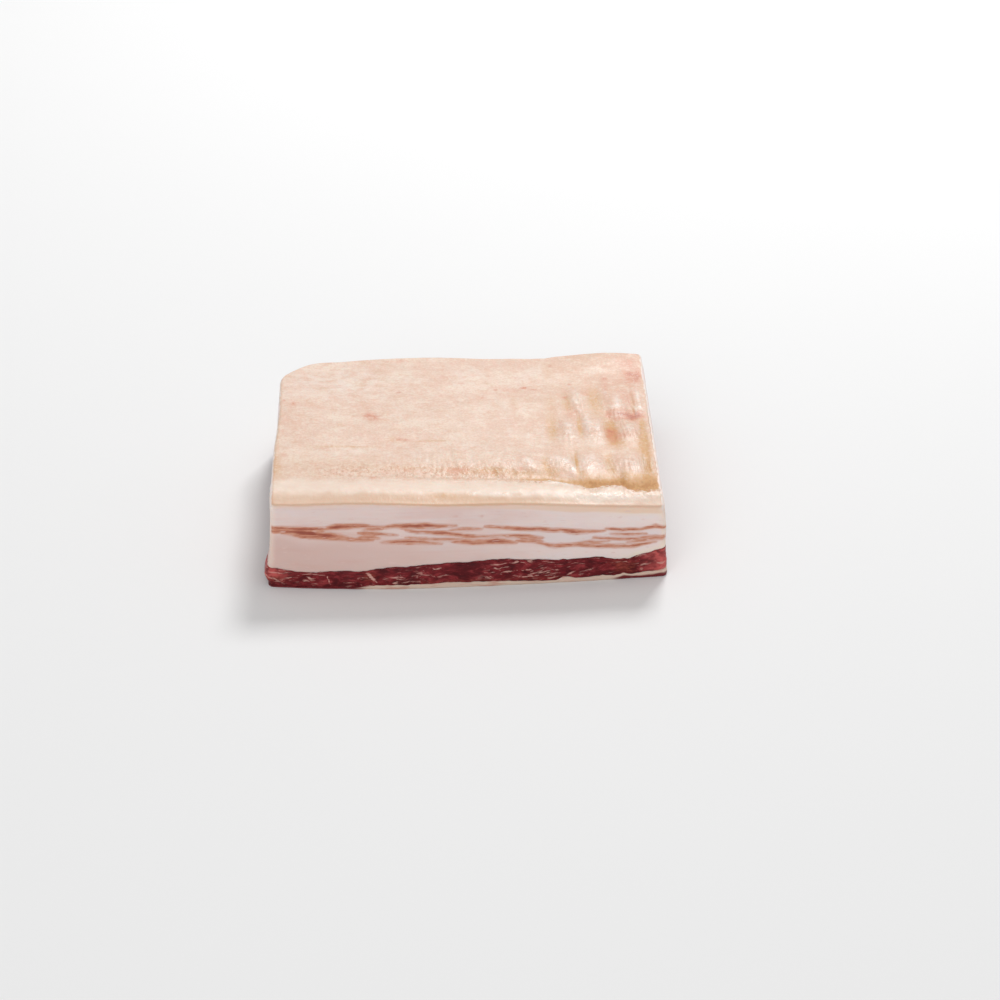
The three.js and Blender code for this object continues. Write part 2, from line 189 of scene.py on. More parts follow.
# Wrinkles: from X and Y to X and Y, depth and width.
WRINKLES = [
    (45.6, -20, 46.9, -42, 0.55, 1.2), (59.8, -24, 60.2, -41, 0.4, 3), (33, -22, 34, -42, 0.3, 2.6),
    (75.8, -22, 75.8, -42, 0.3, 2), (49.3, 14, 50.6, -12, 0.45, 1.6), (38.5, 8, 38, -14, 0.35, 3),
    (62.4, 12, 63.6, -14, 0.7, 2.8), (76.6, 6, 76.2, -24, 0.4, 2.2), (73, 20, 73.2, 4, 0.45, 1.4),
    (44, 34, 47.4, 12, 0.35, 2.6), (57.5, 38, 59, 12, 0.45, 3.2), (-6, -22, -4.6, -37, 0.22, 0.9),
    (1.2, -24, 3.6, -36, 0.18, 0.8), (11.5, -37, 11, -46, 0.4, 0.9), (51.8, -47, 51.6, -57, 0.6, 2.2),
]

# Fine pleats along Y: middle in X and Y, half width, half length, pitch and height.
PLEATS = [
    (-14, -29, 22, 9, 2.7, 0.14), (-8, -42, 26, 5, 1.9, 0.16), (59.6, -34, 3.6, 7, 1.5, 0.22),
    (75.3, -33, 3.2, 9, 1.9, 0.24), (34.5, -1, 4, 8, 2.3, 0.2), (76, 22, 3.5, 14, 2.1, 0.22),
    (29, -35, 4, 6, 1.7, 0.12), (46.2, -31, 2.4, 9, 1.5, 0.2), (55.5, -3, 5, 10, 1.7, 0.26),
    (45, -5, 4.5, 8, 1.6, 0.24), (70.5, -5, 4.5, 8, 1.8, 0.26), (50.5, 20, 4.5, 12, 2, 0.18),
    (66.5, 18, 4, 12, 1.9, 0.2), (41.5, -32, 4, 6, 1.6, 0.22), (69.5, -32, 4, 6, 1.8, 0.2),
    (66, -53, 16, 5, 2.1, 0.12),
]

# Patches of colour on the rind: middle in X and Y, half width, half length and strength.
AMBER = [
    (76, -19, 3, 13, 0.6), (76, -36, 3, 9, 0.48), (74.5, -44.5, 6.5, 4.5, 0.95), (66, -47, 5, 3.4, 0.6),
    (55, -49.6, 7, 3, 0.45), (73, -51.5, 8, 3, 0.35), (66.5, -42, 4, 5, 0.5), (53, -46.6, 7, 2.6, 0.75),
    (56, -43, 10, 3.6, 0.5), (44, -45.4, 6, 1.8, 0.5), (36, -38, 7, 4, 0.42), (31, -44, 8, 1.4, 0.6),
    (60.5, -37, 3, 6, 0.24), (51.8, -52, 1.6, 4, 0.6), (46.6, -32.5, 0.7, 8, 0.85),
    (44.9, -30, 0.5, 6, 0.45), (60, -28, 2, 8, 0.35), (33.5, -33, 1.6, 7, 0.4), (38, -4, 3, 10, 0.3),
    (50, 0, 1.3, 10, 0.55), (63, -5, 3.2, 11, 0.74), (65.5, -14, 5, 5, 0.45), (77, 3, 1.8, 9, 0.56),
    (57.5, 22, 4, 14, 0.36), (46, 20, 2.6, 9, 0.34), (74.5, 22, 1, 10, 0.4), (23, 20, 2.5, 12, 0.22),
    (39, 20, 3, 10, 0.26), (-2, -38, 9, 2.6, 0.5), (-20, -37, 12, 2, 0.36), (12, -38.5, 8, 2.6, 0.68),
    (24, -40, 6, 2.4, 0.5), (49, -40, 3, 4, 0.35), (72.9, 8.5, 2.6, 3.6, 0.5), (76.5, -9, 2.2, 6, 0.24),
    (38, 6, 3, 8, 0.22), (-40, -38, 16, 5, 0.22), (-78, -36, 3.2, 14, 0.4), (-79, 5, 2.4, 30, 0.3),
    (-50, -18.5, 16, 0.9, 0.5), (-12, -13, 10, 0.8, 0.5), (-29, -12, 5, 3, 0.3), (-8, -60.5, 9, 2.4, 0.4),
    (39.5, 52, 2, 9, 0.26), (12, 41, 2.6, 1, 0.3), (55, 8, 2, 3, 0.2), (70, -20, 6, 4, 0.25),
    (53, -20, 6, 4, 0.2),
]
PEACH = [
    (38, 8, 4, 12, 0.9), (62.5, 12, 4, 12, 0.7), (48.5, 12, 3, 8, 0.5), (58.5, 26, 4, 12, 0.6),
    (45, 34, 3, 8, 0.45), (30, 18, 3, 14, 0.35), (72, -14, 7, 5, 0.6), (44, -18, 12, 4, 0.45),
    (33, -36, 3, 6, 0.5), (60.5, -34, 3, 8, 0.55), (14, 6, 3, 12, 0.25), (-14, -38.5, 20, 3.2, 0.8),
    (16, -40.5, 18, 3.6, 0.85), (72, 2, 4, 5, 0.75), (54, 26, 4, 8, 0.4), (56, 52, 24, 16, 0.3),
]
BLUSH = [
    (-38.6, 9.5, 3.6, 4, 0.72), (-38, 8.5, 1.4, 1.6, 0.6), (-40, 14, 1.8, 4, 0.3),
    (-25, -11.5, 3.4, 1.8, 0.85), (-26.5, 32.5, 1.1, 1, 0.8), (-24.6, 34, 0.9, 0.7, 0.6),
    (28, 37.3, 1.8, 1.2, 0.85), (32.5, 35.2, 1.9, 0.9, 0.75), (23, 35.5, 7, 2.6, 0.28),
    (15.8, 35, 0.9, 1.2, 0.75), (48.5, 39.4, 1.2, 1.2, 0.65), (45.2, 27.2, 1.6, 1.6, 0.6),
    (47.5, 12, 3, 6, 0.4), (72.9, 9, 2.4, 4.6, 0.98), (76.6, 12, 2.4, 3.4, 0.65), (71, 10, 7.5, 3.8, 0.85),
    (69, 20, 8, 11, 0.22), (63.5, 11, 2, 4, 0.45), (63, -7, 3.2, 8, 0.72), (62.6, -4, 1.4, 2, 0.5),
    (66.5, -9.5, 4, 3, 0.42), (71.5, -8, 4, 4, 0.28), (56, -10, 4, 2, 0.28), (64.2, 45.4, 1, 1.2, 0.65),
    (63.5, 36, 1.6, 9, 0.36), (40.8, 57.4, 0.8, 1.6, 0.5), (63.8, 56, 2.4, 1, 0.36),
    (25.2, 47, 1.1, 0.9, 0.4), (9.7, 26.8, 1, 1, 0.65), (-76, 25.2, 0.8, 0.8, 0.65),
    (-72, 22.4, 0.8, 1, 0.7), (-70.5, 21, 5, 4, 0.25), (-9, 28, 1.6, 1.2, 0.35), (-6, 47.6, 2.2, 1.8, 0.36),
    (1, 41, 1.6, 0.8, 0.45), (-3.8, 40, 1.2, 1, 0.4), (-27, 64.5, 5, 2.2, 0.42), (-17, 56, 3, 5, 0.22),
    (-37.5, -45.7, 1.9, 1.8, 0.5), (-58, -19.8, 2.2, 1.2, 0.38), (-75, -24.8, 1.6, 1.8, 0.38),
    (-5, -38.5, 4, 2.6, 0.44), (0.5, -37.5, 3.4, 2, 0.42), (-3.5, -43.5, 2.4, 3, 0.42),
    (-32, -41, 3, 1.6, 0.4), (-22, -38.5, 12, 2.4, 0.26), (-48, -40, 10, 3, 0.2), (10, -40, 8, 2.6, 0.28),
    (22.8, -38, 1.4, 2.2, 0.45), (40.5, -39, 2.2, 1, 0.3), (-2.5, 19, 2, 6, 0.24), (77, 49, 5, 9, 0.68),
    (66, 44, 8, 9, 0.2), (79, 49.5, 1.2, 4, 0.7), (75, 43, 5, 5, 0.3), (74, 61, 7, 6, 0.4),
    (72, 30, 5, 9, 0.25), (54.5, 32, 2.4, 7, 0.26), (22.5, 17, 2, 7, 0.25), (-60, 2, 4, 5, 0.12),
    (-2, 5, 6, 4, 0.12),
]
# Pale patches in the same way: paler skin in places, and painted highlights over the pillow tops and along
# the lip crest.
PALE_AND_HIGHLIGHTS = [
    (26.6, -33, 2, 3.6, 0.95), (41.5, -31, 2.6, 3.4, 0.7), (44.6, -37.5, 1.6, 3, 0.6),
    (37.5, -29.5, 3, 2, 0.5), (52.4, -31.5, 3.2, 6.5, 0.72), (48, -36, 0.5, 6, 0.7),
    (68.8, -31, 2.6, 3.6, 0.8), (70.2, -36, 2.4, 2.6, 0.66), (75, -29, 0.5, 4, 0.6), (78, -34, 0.5, 6, 0.5),
    (45.2, -2, 1.7, 6, 0.75), (54, 3, 1.6, 8, 0.75), (57.8, -3, 1.2, 9, 0.75), (71, -2, 2.2, 5, 0.4),
    (67.5, 17, 2, 9, 0.7), (63.4, 29, 0.8, 5, 0.55), (50.5, 25, 2.2, 9, 0.55), (77.2, 24, 0.7, 12, 0.7),
    (75.4, 14, 0.5, 5, 0.6), (20, -4, 1.2, 8, 0.4), (34, -1, 0.5, 6, 0.45), (27.4, -9, 0.6, 4, 0.4),
    (-24, -27, 9, 5, 0.3), (-46, -24, 8, 4, 0.25), (3.2, -30, 0.8, 5, 0.5), (-15, -29, 1, 3, 0.5),
    (4, 52, 9, 7, 0.3), (30, 50, 6, 8, 0.25), (35, 39, 3, 1.6, 0.45), (-23, 44, 8, 3, 0.22),
    (-55, 43, 22, 16, 0.42), (16, -60, 10, 1.8, 0.6), (4, -58.5, 4, 1.6, 0.5), (58, -60, 18, 2, 0.6),
    (40, -50, 5.5, 4, 0.6), (58.5, -53, 4, 3.6, 0.6),
]

# Lean streaks on the cut faces, as lines along the front: each point is X, height and half the thickness.
STREAKS = [
    [(-81, 26.6, 0.2), (-79, 26.9, 0.45), (-75, 27, 0.5), (-71, 26.6, 0.5), (-67, 26.2, 0.6),
     (-62, 26, 0.5), (-57, 26.1, 0.35), (-54, 25.9, 0.1)],
    [(-80, 25.4, 0.2), (-76, 25.5, 0.35), (-71, 25.2, 0.5), (-67, 24.8, 0.9), (-63, 24.4, 0.9),
     (-60, 23.5, 0.6), (-58, 23.2, 0.7), (-55, 22.9, 0.7), (-52, 22.5, 0.55), (-49, 22.1, 0.35),
     (-46, 21.6, 0.15)],
    [(-75, 24.2, 0.1), (-71, 23.8, 0.3), (-67, 23.1, 0.4), (-62, 22.5, 0.3), (-57, 21.8, 0.25),
     (-51, 21.4, 0.25), (-46, 21.2, 0.4), (-42, 20.9, 0.3), (-38, 20.8, 0.1)],
    [(-59, 26, 0.1), (-56, 26.6, 0.45), (-53, 26.9, 0.7), (-49, 26.9, 0.7), (-45, 27.2, 0.55),
     (-42, 27.2, 0.5), (-39, 26.9, 0.2), (-33, 26.5, 0.1)],
    [(-42, 25.3, 0.15), (-39.5, 25.7, 0.35), (-37, 25.8, 0.35), (-34, 25.7, 0.15)],
    [(-44, 24, 0.1), (-41, 23.8, 0.35), (-38, 23.7, 0.4), (-34, 23.4, 0.3), (-31, 23.1, 0.2),
     (-28, 22.9, 0.05)],
    [(-44, 22, 0.15), (-41, 22.2, 0.35), (-38, 22.1, 0.4), (-35.5, 21.6, 0.1)],
    [(-35, 26.1, 0.15), (-32, 26.6, 0.4), (-29, 27, 0.5), (-26, 26.8, 0.75), (-21, 26.8, 0.8),
     (-16, 26.9, 0.8), (-13, 26.6, 0.55), (-9, 26.5, 0.35), (-4, 26.4, 0.1)],
    [(-25, 24.9, 0.1), (-23, 24.6, 0.3), (-20, 24, 0.3), (-18, 24.2, 0.35), (-15, 23.8, 0.4),
     (-12, 23.4, 0.55), (-9, 23.2, 0.5), (-5, 22.6, 0.35), (-2, 22, 0.4), (1, 21.5, 0.4), (4, 21.3, 0.25),
     (9, 21.3, 0.1), (15, 21.4, 0.15), (19, 21.2, 0.3), (24, 20.9, 0.35), (28, 20.3, 0.3), (31, 20.1, 0.1)],
    [(-7, 24.5, 0.1), (-3, 24.8, 0.25), (0, 24.8, 0.35), (4, 24.6, 0.2), (6, 24.5, 0.05)],
    [(-35, 19.9, 0.1), (-31, 19.9, 0.3), (-27, 20.1, 0.5), (-24, 19.9, 0.65), (-21, 19.9, 0.55),
     (-17, 19.5, 0.4), (-13, 19.1, 0.2), (-10, 18.8, 0.05)],
    [(-25, 21.8, 0.1), (-20, 21.3, 0.2), (-15, 20.8, 0.2), (-9, 20.5, 0.25), (-4, 20.1, 0.3),
     (0, 19.6, 0.25), (5, 19.4, 0.2), (8, 19.3, 0.1)],
    [(-6, 19.4, 0.1), (-2, 19, 0.3), (2, 18.7, 0.4), (5, 18.7, 0.45), (8, 19, 0.6), (12, 19.1, 0.75),
     (16, 18.7, 0.5), (20, 18.2, 0.15)],
    [(7, 25.7, 0.1), (9, 25.5, 0.3), (12, 25.2, 0.35), (16, 24.8, 0.35), (20, 24.4, 0.4), (25, 24.1, 0.45),
     (29, 24.1, 0.5), (32, 23.7, 0.55), (35, 23.4, 0.5), (38, 23.7, 0.4), (41, 22.9, 0.7), (44, 22.4, 0.7),
     (48, 22.4, 0.4), (53, 22.5, 0.15), (56, 22.6, 0.05)],
    [(21, 20.5, 0.1), (24, 19.6, 0.3), (27, 19.1, 0.35), (31, 18.5, 0.1)],
    [(20, 19.1, 0.15), (24, 18.8, 0.3), (28, 18.4, 0.25), (31, 17.4, 0.15), (33, 16.8, 0.45),
     (36, 16.4, 0.4), (41, 16.8, 0.35), (45, 16.8, 0.35), (49, 16.3, 0.35), (53, 15.8, 0.4),
     (58, 15.7, 0.45), (63, 15.4, 0.45), (68, 15.2, 0.45), (72, 15.6, 0.3), (77, 16.4, 0.1)],
    [(42, 17, 0.1), (46, 17.5, 0.35), (50, 17.9, 0.4), (54, 17.7, 0.2), (58, 18, 0.05)],
    [(51, 19.8, 0.05), (54, 19.4, 0.25), (58, 18.9, 0.25), (62, 18.6, 0.25), (66, 18.5, 0.2),
     (70, 18.3, 0.25), (74, 18.9, 0.25), (79, 19.2, 0.2), (82, 19.4, 0.1)],
    [(56, 23.6, 0.1), (59, 23.3, 0.3), (63, 22.6, 0.35), (66, 22.9, 0.3), (70, 22.5, 0.25),
     (74, 23.4, 0.25), (76.5, 24.2, 0.45), (80, 23.4, 0.3), (83, 23.1, 0.1)],
    [(58, 21.1, 0.1), (62, 20.8, 0.25), (67, 20.6, 0.2), (73, 20.3, 0.1)],
    [(65, 16.9, 0.1), (68, 17.2, 0.3), (72, 17.3, 0.35), (76, 18.1, 0.5), (80, 18.4, 0.3), (83, 18.5, 0.1)],
]

# Where the fat between the streaks is pink: middle in X and height, half width, half height and strength.
HAZES = [
    (-72, 25.8, 10, 1.7, 0.75), (-60, 23.9, 12, 1.6, 0.6), (-49, 27, 9, 0.9, 0.55),
    (-44, 22.3, 8, 1.6, 0.55), (-40, 25.6, 6, 1, 0.35), (-20, 26.8, 15, 0.9, 0.55),
    (-10, 23.6, 11, 1.3, 0.5), (-22, 20.1, 11, 1, 0.5), (0, 21, 9, 1.6, 0.45), (8, 19.2, 12, 1, 0.6),
    (22, 20.6, 9, 1.3, 0.45), (24, 24.2, 10, 0.9, 0.45), (40, 23.2, 9, 1, 0.6), (42, 17, 14, 1, 0.5),
    (60, 16, 12, 1, 0.4), (66, 22.8, 12, 1, 0.4), (72, 17.8, 10, 1.4, 0.45), (66, 19.2, 12, 0.8, 0.35),
    (-48, 12, 6, 0.7, 0.3), (-70, 16, 9, 1.2, 0.2), (-66, 10, 8, 1, 0.25), (5.8, 30.4, 0.7, 0.7, 0.75),
    (-4.6, 30.8, 0.8, 0.5, 0.6),
]

# Pale strokes of fat in the lean, in the same way.
STROKES = [
    [(24, 4.1, 0.05), (26.5, 5, 0.25), (29.5, 5.4, 0.28), (31, 6.6, 0.22), (32.5, 7.5, 0.1)],
    [(28, 7, 0.1), (30, 7.2, 0.22), (31.5, 7, 0.1)],
    [(12.5, 5.6, 0.1), (14.5, 4.9, 0.25), (15, 4, 0.2), (14, 3, 0.1)],
    [(6.5, 6.1, 0.1), (9, 6.3, 0.22), (11, 6, 0.2), (12.5, 5, 0.1)],
    [(5, 5.2, 0.05), (7, 4.1, 0.22), (9.5, 3.9, 0.1)],
    [(40, 3.2, 0.1), (41.5, 4, 0.4), (43.5, 4.9, 0.3), (44.2, 5.2, 0.1)],
    [(45.5, 4.4, 0.1), (48.5, 5.3, 0.28), (50, 5.4, 0.3), (52, 6.2, 0.1)],
    [(35.5, 6.1, 0.1), (36.5, 5.9, 0.25), (37.5, 5.5, 0.1)],
    [(-23, 5.7, 0.1), (-20, 6.1, 0.22), (-17, 6, 0.22), (-15, 6, 0.18), (-13, 4.9, 0.1)],
    [(-33, 5.6, 0.05), (-30, 5.2, 0.2), (-28, 5.8, 0.2), (-25.5, 5, 0.1)],
    [(-57.2, 6, 0.4), (-56.6, 4, 1.2), (-56, 2.2, 0.3)],
    [(-41.5, 7.4, 0.1), (-39.8, 6.2, 1), (-38.4, 4.6, 0.7), (-36.8, 4, 0.1)],
    [(-84.5, 9.4, 0.4), (-83.6, 7.6, 0.5), (-83, 5.6, 0.5), (-82.6, 3.8, 0.2)],
    [(-82, 5.2, 0.3), (-79, 4.1, 0.35), (-77, 2.8, 0.35), (-74.5, 1.6, 0.15)],
    [(-77, 3.4, 0.05), (-74, 4.4, 0.22), (-71, 5, 0.15), (-69, 5, 0.05)],
    [(-65, 6.4, 0.05), (-62, 6.6, 0.22), (-60, 6.3, 0.15), (-57, 6, 0.05)],
    [(-51, 3, 0.05), (-48, 3.3, 0.18), (-45, 3.4, 0.05)],
    [(-27, 3, 0.1), (-23, 3.5, 0.28), (-19, 3, 0.1)],
    [(69, 5.6, 0.1), (71.5, 6.1, 0.28), (74.5, 6.4, 0.22), (77, 7.1, 0.1)],
    [(43, 9.1, 0.05), (45.5, 8.3, 0.16), (48, 8.3, 0.05)],
    [(19, 3.9, 0.05), (22, 4.3, 0.18), (25, 4, 0.05)],
    [(10, 9.5, 0.05), (12, 8, 0.2), (13.2, 6.8, 0.05)],
]


# Brown and bright parts of the lean: middle in X and height, half width, half height and strength.
BROWNS = [
    (62.5, 6, 3, 3, 0.5), (67, 5, 3, 2.5, 0.55), (61, 8, 4, 1.2, 0.25), (-40, 5.8, 2.4, 2.4, 0.55),
    (-78, 4, 4, 1.5, 0.35), (30, 2.6, 14, 0.8, 0.3), (-5, 3, 20, 0.8, 0.3),
]

# Smooth noise in the relief: the size of its lumps along X, Y and Z, its seed and its height.
LUMPS = {
    "crease": (4.5, 1, 1, 16, 1.6),
    "pleats": (7, 11, 1, 11, 1),
    "front_line": (3.6, 3.6, 1, 31, 0.30),
    "front_line_fine": (1.6, 1.6, 1, 32, 0.24),
    "layers_along": (38, 38, 1, 21, 1),
    "layers_level": (26, 26, 1, 22, 1),
    "scallops": (3.4, 6, 1, 1, 1),
    "bank": (2.6, 3.2, 1, 2, 0.6),
    "bank_fine": (1.1, 1.6, 1, 17, 0.4),
    "level_lines": (26, 2.4, 1, 3, 0.05),
    "crinkles": (2.4, 3.6, 1, 4, 1),
    "knife": (22, 22, 5, 5, 0.25),
    "knife_fine": (6, 6, 1.2, 6, 0.07),
    "torn_end": (2, 2.4, 1.6, 15, 0.6),
    "skin_thickness": (9, 9, 3, 20, 0.5),
    "side_border": (2.5, 2.5, 1, 13, 0.5),
    "lip": (6, 6, 1, 12, 1),
    "lip_fine": (2.2, 3, 1, 14, 1),
    "torn_edge": (1.2, 2.6, 1, 19, 3.6),
    "lean": (9, 9, 4, 7, 0.30),
    "lean_fine": (2.6, 2.6, 1.4, 8, 0.16),
    "lean_ends": (5, 5, 3, 18, 6),
    "underside": (7, 7, 3, 9, 0.25),
    "membrane": (5, 5, 2, 10, 1),
}
SEED_STEP = 17.3
TINY = 1e-9


# ------------------------------------------------------------------ settings


class SlabLooks(bpy.types.PropertyGroup):
    """Sizes and colours of the slab."""

    wrinkle_depth: bpy.props.FloatProperty(
        name="Wrinkle depth", description="How deep the wrinkles of the rind are", default=1.0, min=0.0,
        soft_max=2.0, subtype="FACTOR",
    )
    skin: bpy.props.FloatVectorProperty(
        name="Rind", description="Rind", default=(0.795, 0.590, 0.478), size=3, subtype="COLOR"
    )
    cream: bpy.props.FloatVectorProperty(
        name="Cream", description="Palest rind", default=(0.89, 0.74, 0.62), size=3, subtype="COLOR"
    )
    blush: bpy.props.FloatVectorProperty(
        name="Blush", description="Red marks on the rind", default=(0.66, 0.25, 0.15), size=3,
        subtype="COLOR",
    )
    amber: bpy.props.FloatVectorProperty(
        name="Amber", description="Rind deep in its creases", default=(0.64, 0.345, 0.13), size=3,
        subtype="COLOR",
    )
    fat: bpy.props.FloatVectorProperty(
        name="Fat", description="Fat on the cut faces", default=(0.82, 0.66, 0.62), size=3, subtype="COLOR"
    )
    streak: bpy.props.FloatVectorProperty(
        name="Streaks", description="Thin lean streaks in the fat", default=(0.45, 0.125, 0.070), size=3,
        subtype="COLOR",
    )
    lean: bpy.props.FloatVectorProperty(
        name="Lean", description="Dark lean", default=(0.172, 0.0125, 0.0165), size=3, subtype="COLOR"
    )
    marbling: bpy.props.FloatVectorProperty(
        name="Marbling", description="Fat marbled through the lean", default=(0.68, 0.38, 0.32), size=3,
        subtype="COLOR",
    )


class StudioLooks(bpy.types.PropertyGroup):
    """Floor, lights and camera."""

    floor: bpy.props.FloatVectorProperty(
        name="Floor", description="Colour of the floor", default=(0.86, 0.86, 0.86), size=3, subtype="COLOR"
    )
    key_power: bpy.props.FloatProperty(
        name="Key light", description="Power of the light behind the slab", default=18.0, unit="POWER"
    )
    fill_power: bpy.props.FloatProperty(
        name="Fill light", description="Power of the light in front", default=10.0, unit="POWER"
    )
    sky_strength: bpy.props.FloatProperty(
        name="Surroundings", description="Brightness of the white surroundings", default=0.5
    )
    lens: bpy.props.FloatProperty(
        name="Lens", description="Focal length of the camera", default=93.85, unit="CAMERA"
    )


# ------------------------------------------------------------------ the slab's shape, on arrays of points


def mix(low, high, share):
    return low + (high - low) * share


def ease(start, end, value):
    share = np.clip((value - start) / (end - start), 0, 1)
    return share * share * (3 - 2 * share)


def bump(value, middle, width):
    return np.exp(-(((value - middle) / width) ** 2))


def spot(x, y, middle_x, middle_y, half_width, half_length):
    """How far points are from the middle of an oval, squared: 1 on its outline."""
    return ((x - middle_x) / half_width) ** 2 + ((y - middle_y) / half_length) ** 2


def ripple(name, x, y):
    total = 0.0
    for height, length, heading, start in RIPPLES[name]:
        turn = math.radians(heading)
        along = x * math.cos(turn) + y * math.sin(turn)
        total = total + height * np.sin(2 * math.pi * along / length + math.radians(start))
    return total


def lumps(name, x, y, z=0.0):
    """Smooth noise at points in millimetres."""
    *size, seed, height = LUMPS[name]
    scaled = np.stack(np.broadcast_arrays(x, y, z), axis=1) / np.array(size) + seed * SEED_STEP
    return np.array([noise.noise(Vector(place)) for place in scaled.tolist()]) * height


def along_line(points, x):
    """Reads a line of points given as X and value."""
    table = np.array(points)
    return np.interp(x, table[:, 0], table[:, 1])


def past_corner(x, y):
    """The corner's radius, how far points are past its middle along X and Y, and which are past both."""
    radius = np.where((x < 0) & (y > 0), Block.trimmed_corner, Block.other_corner)
    dx = np.abs(x) - (Block.half_width - radius)
    dy = np.abs(y) - (Block.half_depth - radius)
    return radius, dx, dy, (dx > 0) & (dy > 0)


def round_corners(x, y):
    """Draws the corners of a rectangular grid in to arcs."""
    radius, dx, dy, in_corner = past_corner(x, y)
    squeeze = np.maximum(dx, dy) / np.maximum(np.hypot(dx, dy), TINY)
    round_x = np.sign(x) * (Block.half_width - radius + dx * squeeze)
    round_y = np.sign(y) * (Block.half_depth - radius + dy * squeeze)
    return np.where(in_corner, round_x, x), np.where(in_corner, round_y, y)


def edge_distance(x, y):
    """Distance in from the nearest cut edge, in plan."""
    radius, dx, dy, in_corner = past_corner(x, y)
    return radius - np.where(in_corner, np.hypot(dx, dy), np.maximum(dx, dy))


def outward(x, y):
    """Which way the cut face nearest to a point of the outline faces, in plan."""
    _, dx, dy, in_corner = past_corner(x, y)
    across = np.where(in_corner, dx, dx > dy)
    back = np.where(in_corner, dy, dx <= dy)
    length = np.maximum(np.hypot(across, back), TINY)
    return np.stack([np.sign(x) * across / length, np.sign(y) * back / length], axis=1)


def from_belly(x):
    reach = Block.half_width + np.sign(Wall.belly_x - x) * Wall.belly_x
    return np.abs(x - Wall.belly_x) / reach


def front_inset(x, share):
    bow = np.where(x < Wall.belly_x, Wall.front_bow_left, Wall.front_bow_right)
    foot = bow * from_belly(x) ** Wall.front_bow_power
    return mix(foot, Wall.front_lean + ripple("front_face", x, 0), ease(0, Wall.front_lean_share, share))


def left_inset(y, share):
    top = mix(Wall.left_top_front, Wall.left_top_back, y / Block.depth + 0.5)
    fat = mix(Wall.left_fat, top, (share - Wall.lean_share) / (1 - Wall.lean_share))
    lean = mix(Wall.left_foot, Wall.left_fat, share / Wall.lean_share)
    near = ease(Wall.swell_reach, Wall.swell_reach / 4, y + Block.half_depth)
    middle, half = Wall.swell_middle * Wall.lean_share, Wall.swell_half * Wall.lean_share
    swell = Wall.left_swell * near * bump(share, middle, half)
    return np.where(share > Wall.lean_share, fat, lean) - swell + ripple("left_face", 0, y)


def right_inset(y, share):
    back = y / Block.depth + 0.5
    top = mix(Wall.right_top_front, Wall.right_top_back, back)
    foot = mix(Wall.right_foot_front, Wall.right_foot_back, back)
    swell = bump(share, Wall.fat_share, 1 - Wall.fat_share) * mix(Wall.right_swell_front, 1, back)
    return mix(foot, top, share) - Wall.right_fat_swell * swell


def back_inset(x, share):
    bow = np.where(x < Wall.belly_x, Wall.back_bow_left, Wall.back_bow_right)
    trim = along_line(BACK_TRIM, x) * mix(Wall.trim_foot, 1.0, share)
    return bow * from_belly(x) ** 2 + Wall.back_lean * share + ripple("back_face", x, 0) - trim


def shift(x, y, share):
    """Moves points of the plain block to where the leaning and bowed cut faces put them."""

    def near(distance):
        return ease(Wall.reach, 0, distance)

    left = left_inset(y, share) * near(x + Block.half_width)
    right = right_inset(y, share) * near(Block.half_width - x)
    front = front_inset(x, share) * near(y + Block.half_depth)
    back = back_inset(x, share) * near(Block.half_depth - y)
    return x + (left - right), y + (front - back)


def crease_line(x):
    """The crease's distance behind the front cut."""
    return along_line(CREASE_LINE, x) + lumps("crease", x, 0.0) * ease(-10, 30, x)


def lip_and_crease(x, behind):
    across = ease(-Block.half_width, Block.half_width, x)
    depth = mix(Rind.crease_depth_left, Rind.crease_depth_right, across)
    crease = crease_line(x)
    width = Rind.crease_width * np.where(behind < crease, Rind.crease_front_share, 1.0)
    reach = mix(Rind.lip_reach_left, Rind.lip_reach_right, across)
    lip = Rind.lip_rise * bump(behind, reach, Rind.lip_width)
    return lip - Rind.lip_fall * bump(behind, 0, Rind.lip_fall_width) - depth * bump(behind, crease, width)


def pillow_height(x, y):
    total = np.zeros_like(x)
    for middle_x, middle_y, half_width, half_length, height, lean in PILLOWS:
        up = (y - middle_y) / half_length
        across = (x - middle_x - lean * (y - middle_y)) / half_width
        total = total + height * np.exp(-((across**2 + up**2) ** Rind.pillow_power))
    return total


def wrinkle_depth(x, y):
    total = np.zeros_like(x)
    for start_x, start_y, end_x, end_y, depth, width in WRINKLES:
        run_x, run_y = end_x - start_x, end_y - start_y
        length = math.hypot(run_x, run_y)
        share = ((x - start_x) * run_x + (y - start_y) * run_y) / length**2
        bend = Rind.wrinkle_bend * np.sin(math.pi * share)
        bend = bend + Rind.wrinkle_wander * np.sin(7 * share + start_x)
        side = ((x - start_x) * run_y - (y - start_y) * run_x) / length + bend
        ends = ease(-0.3, 0.35, share) * ease(1.3, 0.65, share)
        total = total + depth * ends * np.exp(-((side / width) ** 2))
    return total


def pleat_height(x, y):
    """Fine pleats side by side, each a little out of step with the next."""
    sway = lumps("pleats", x, y)
    total = np.zeros_like(x)
    for middle_x, middle_y, half_width, half_length, pitch, height in PLEATS:
        far = spot(x, y, middle_x, middle_y, half_width, half_length)
        waves = np.sin(2 * math.pi * (x + 0.1 * (y - middle_y)) / pitch + 7 * sway)
        total = total + height * waves * np.exp(-(far**Rind.pleat_power)) * (0.6 + sway)
    return total


def patches(table, x, y):
    """Soft patches from 0 to their own strength."""
    total = np.zeros_like(x)
    for *oval, strength in table:
        share = strength * np.exp(-(spot(x, y, *oval) ** Rind.patch_power))
        total = 1 - (1 - total) * (1 - share)
    return total


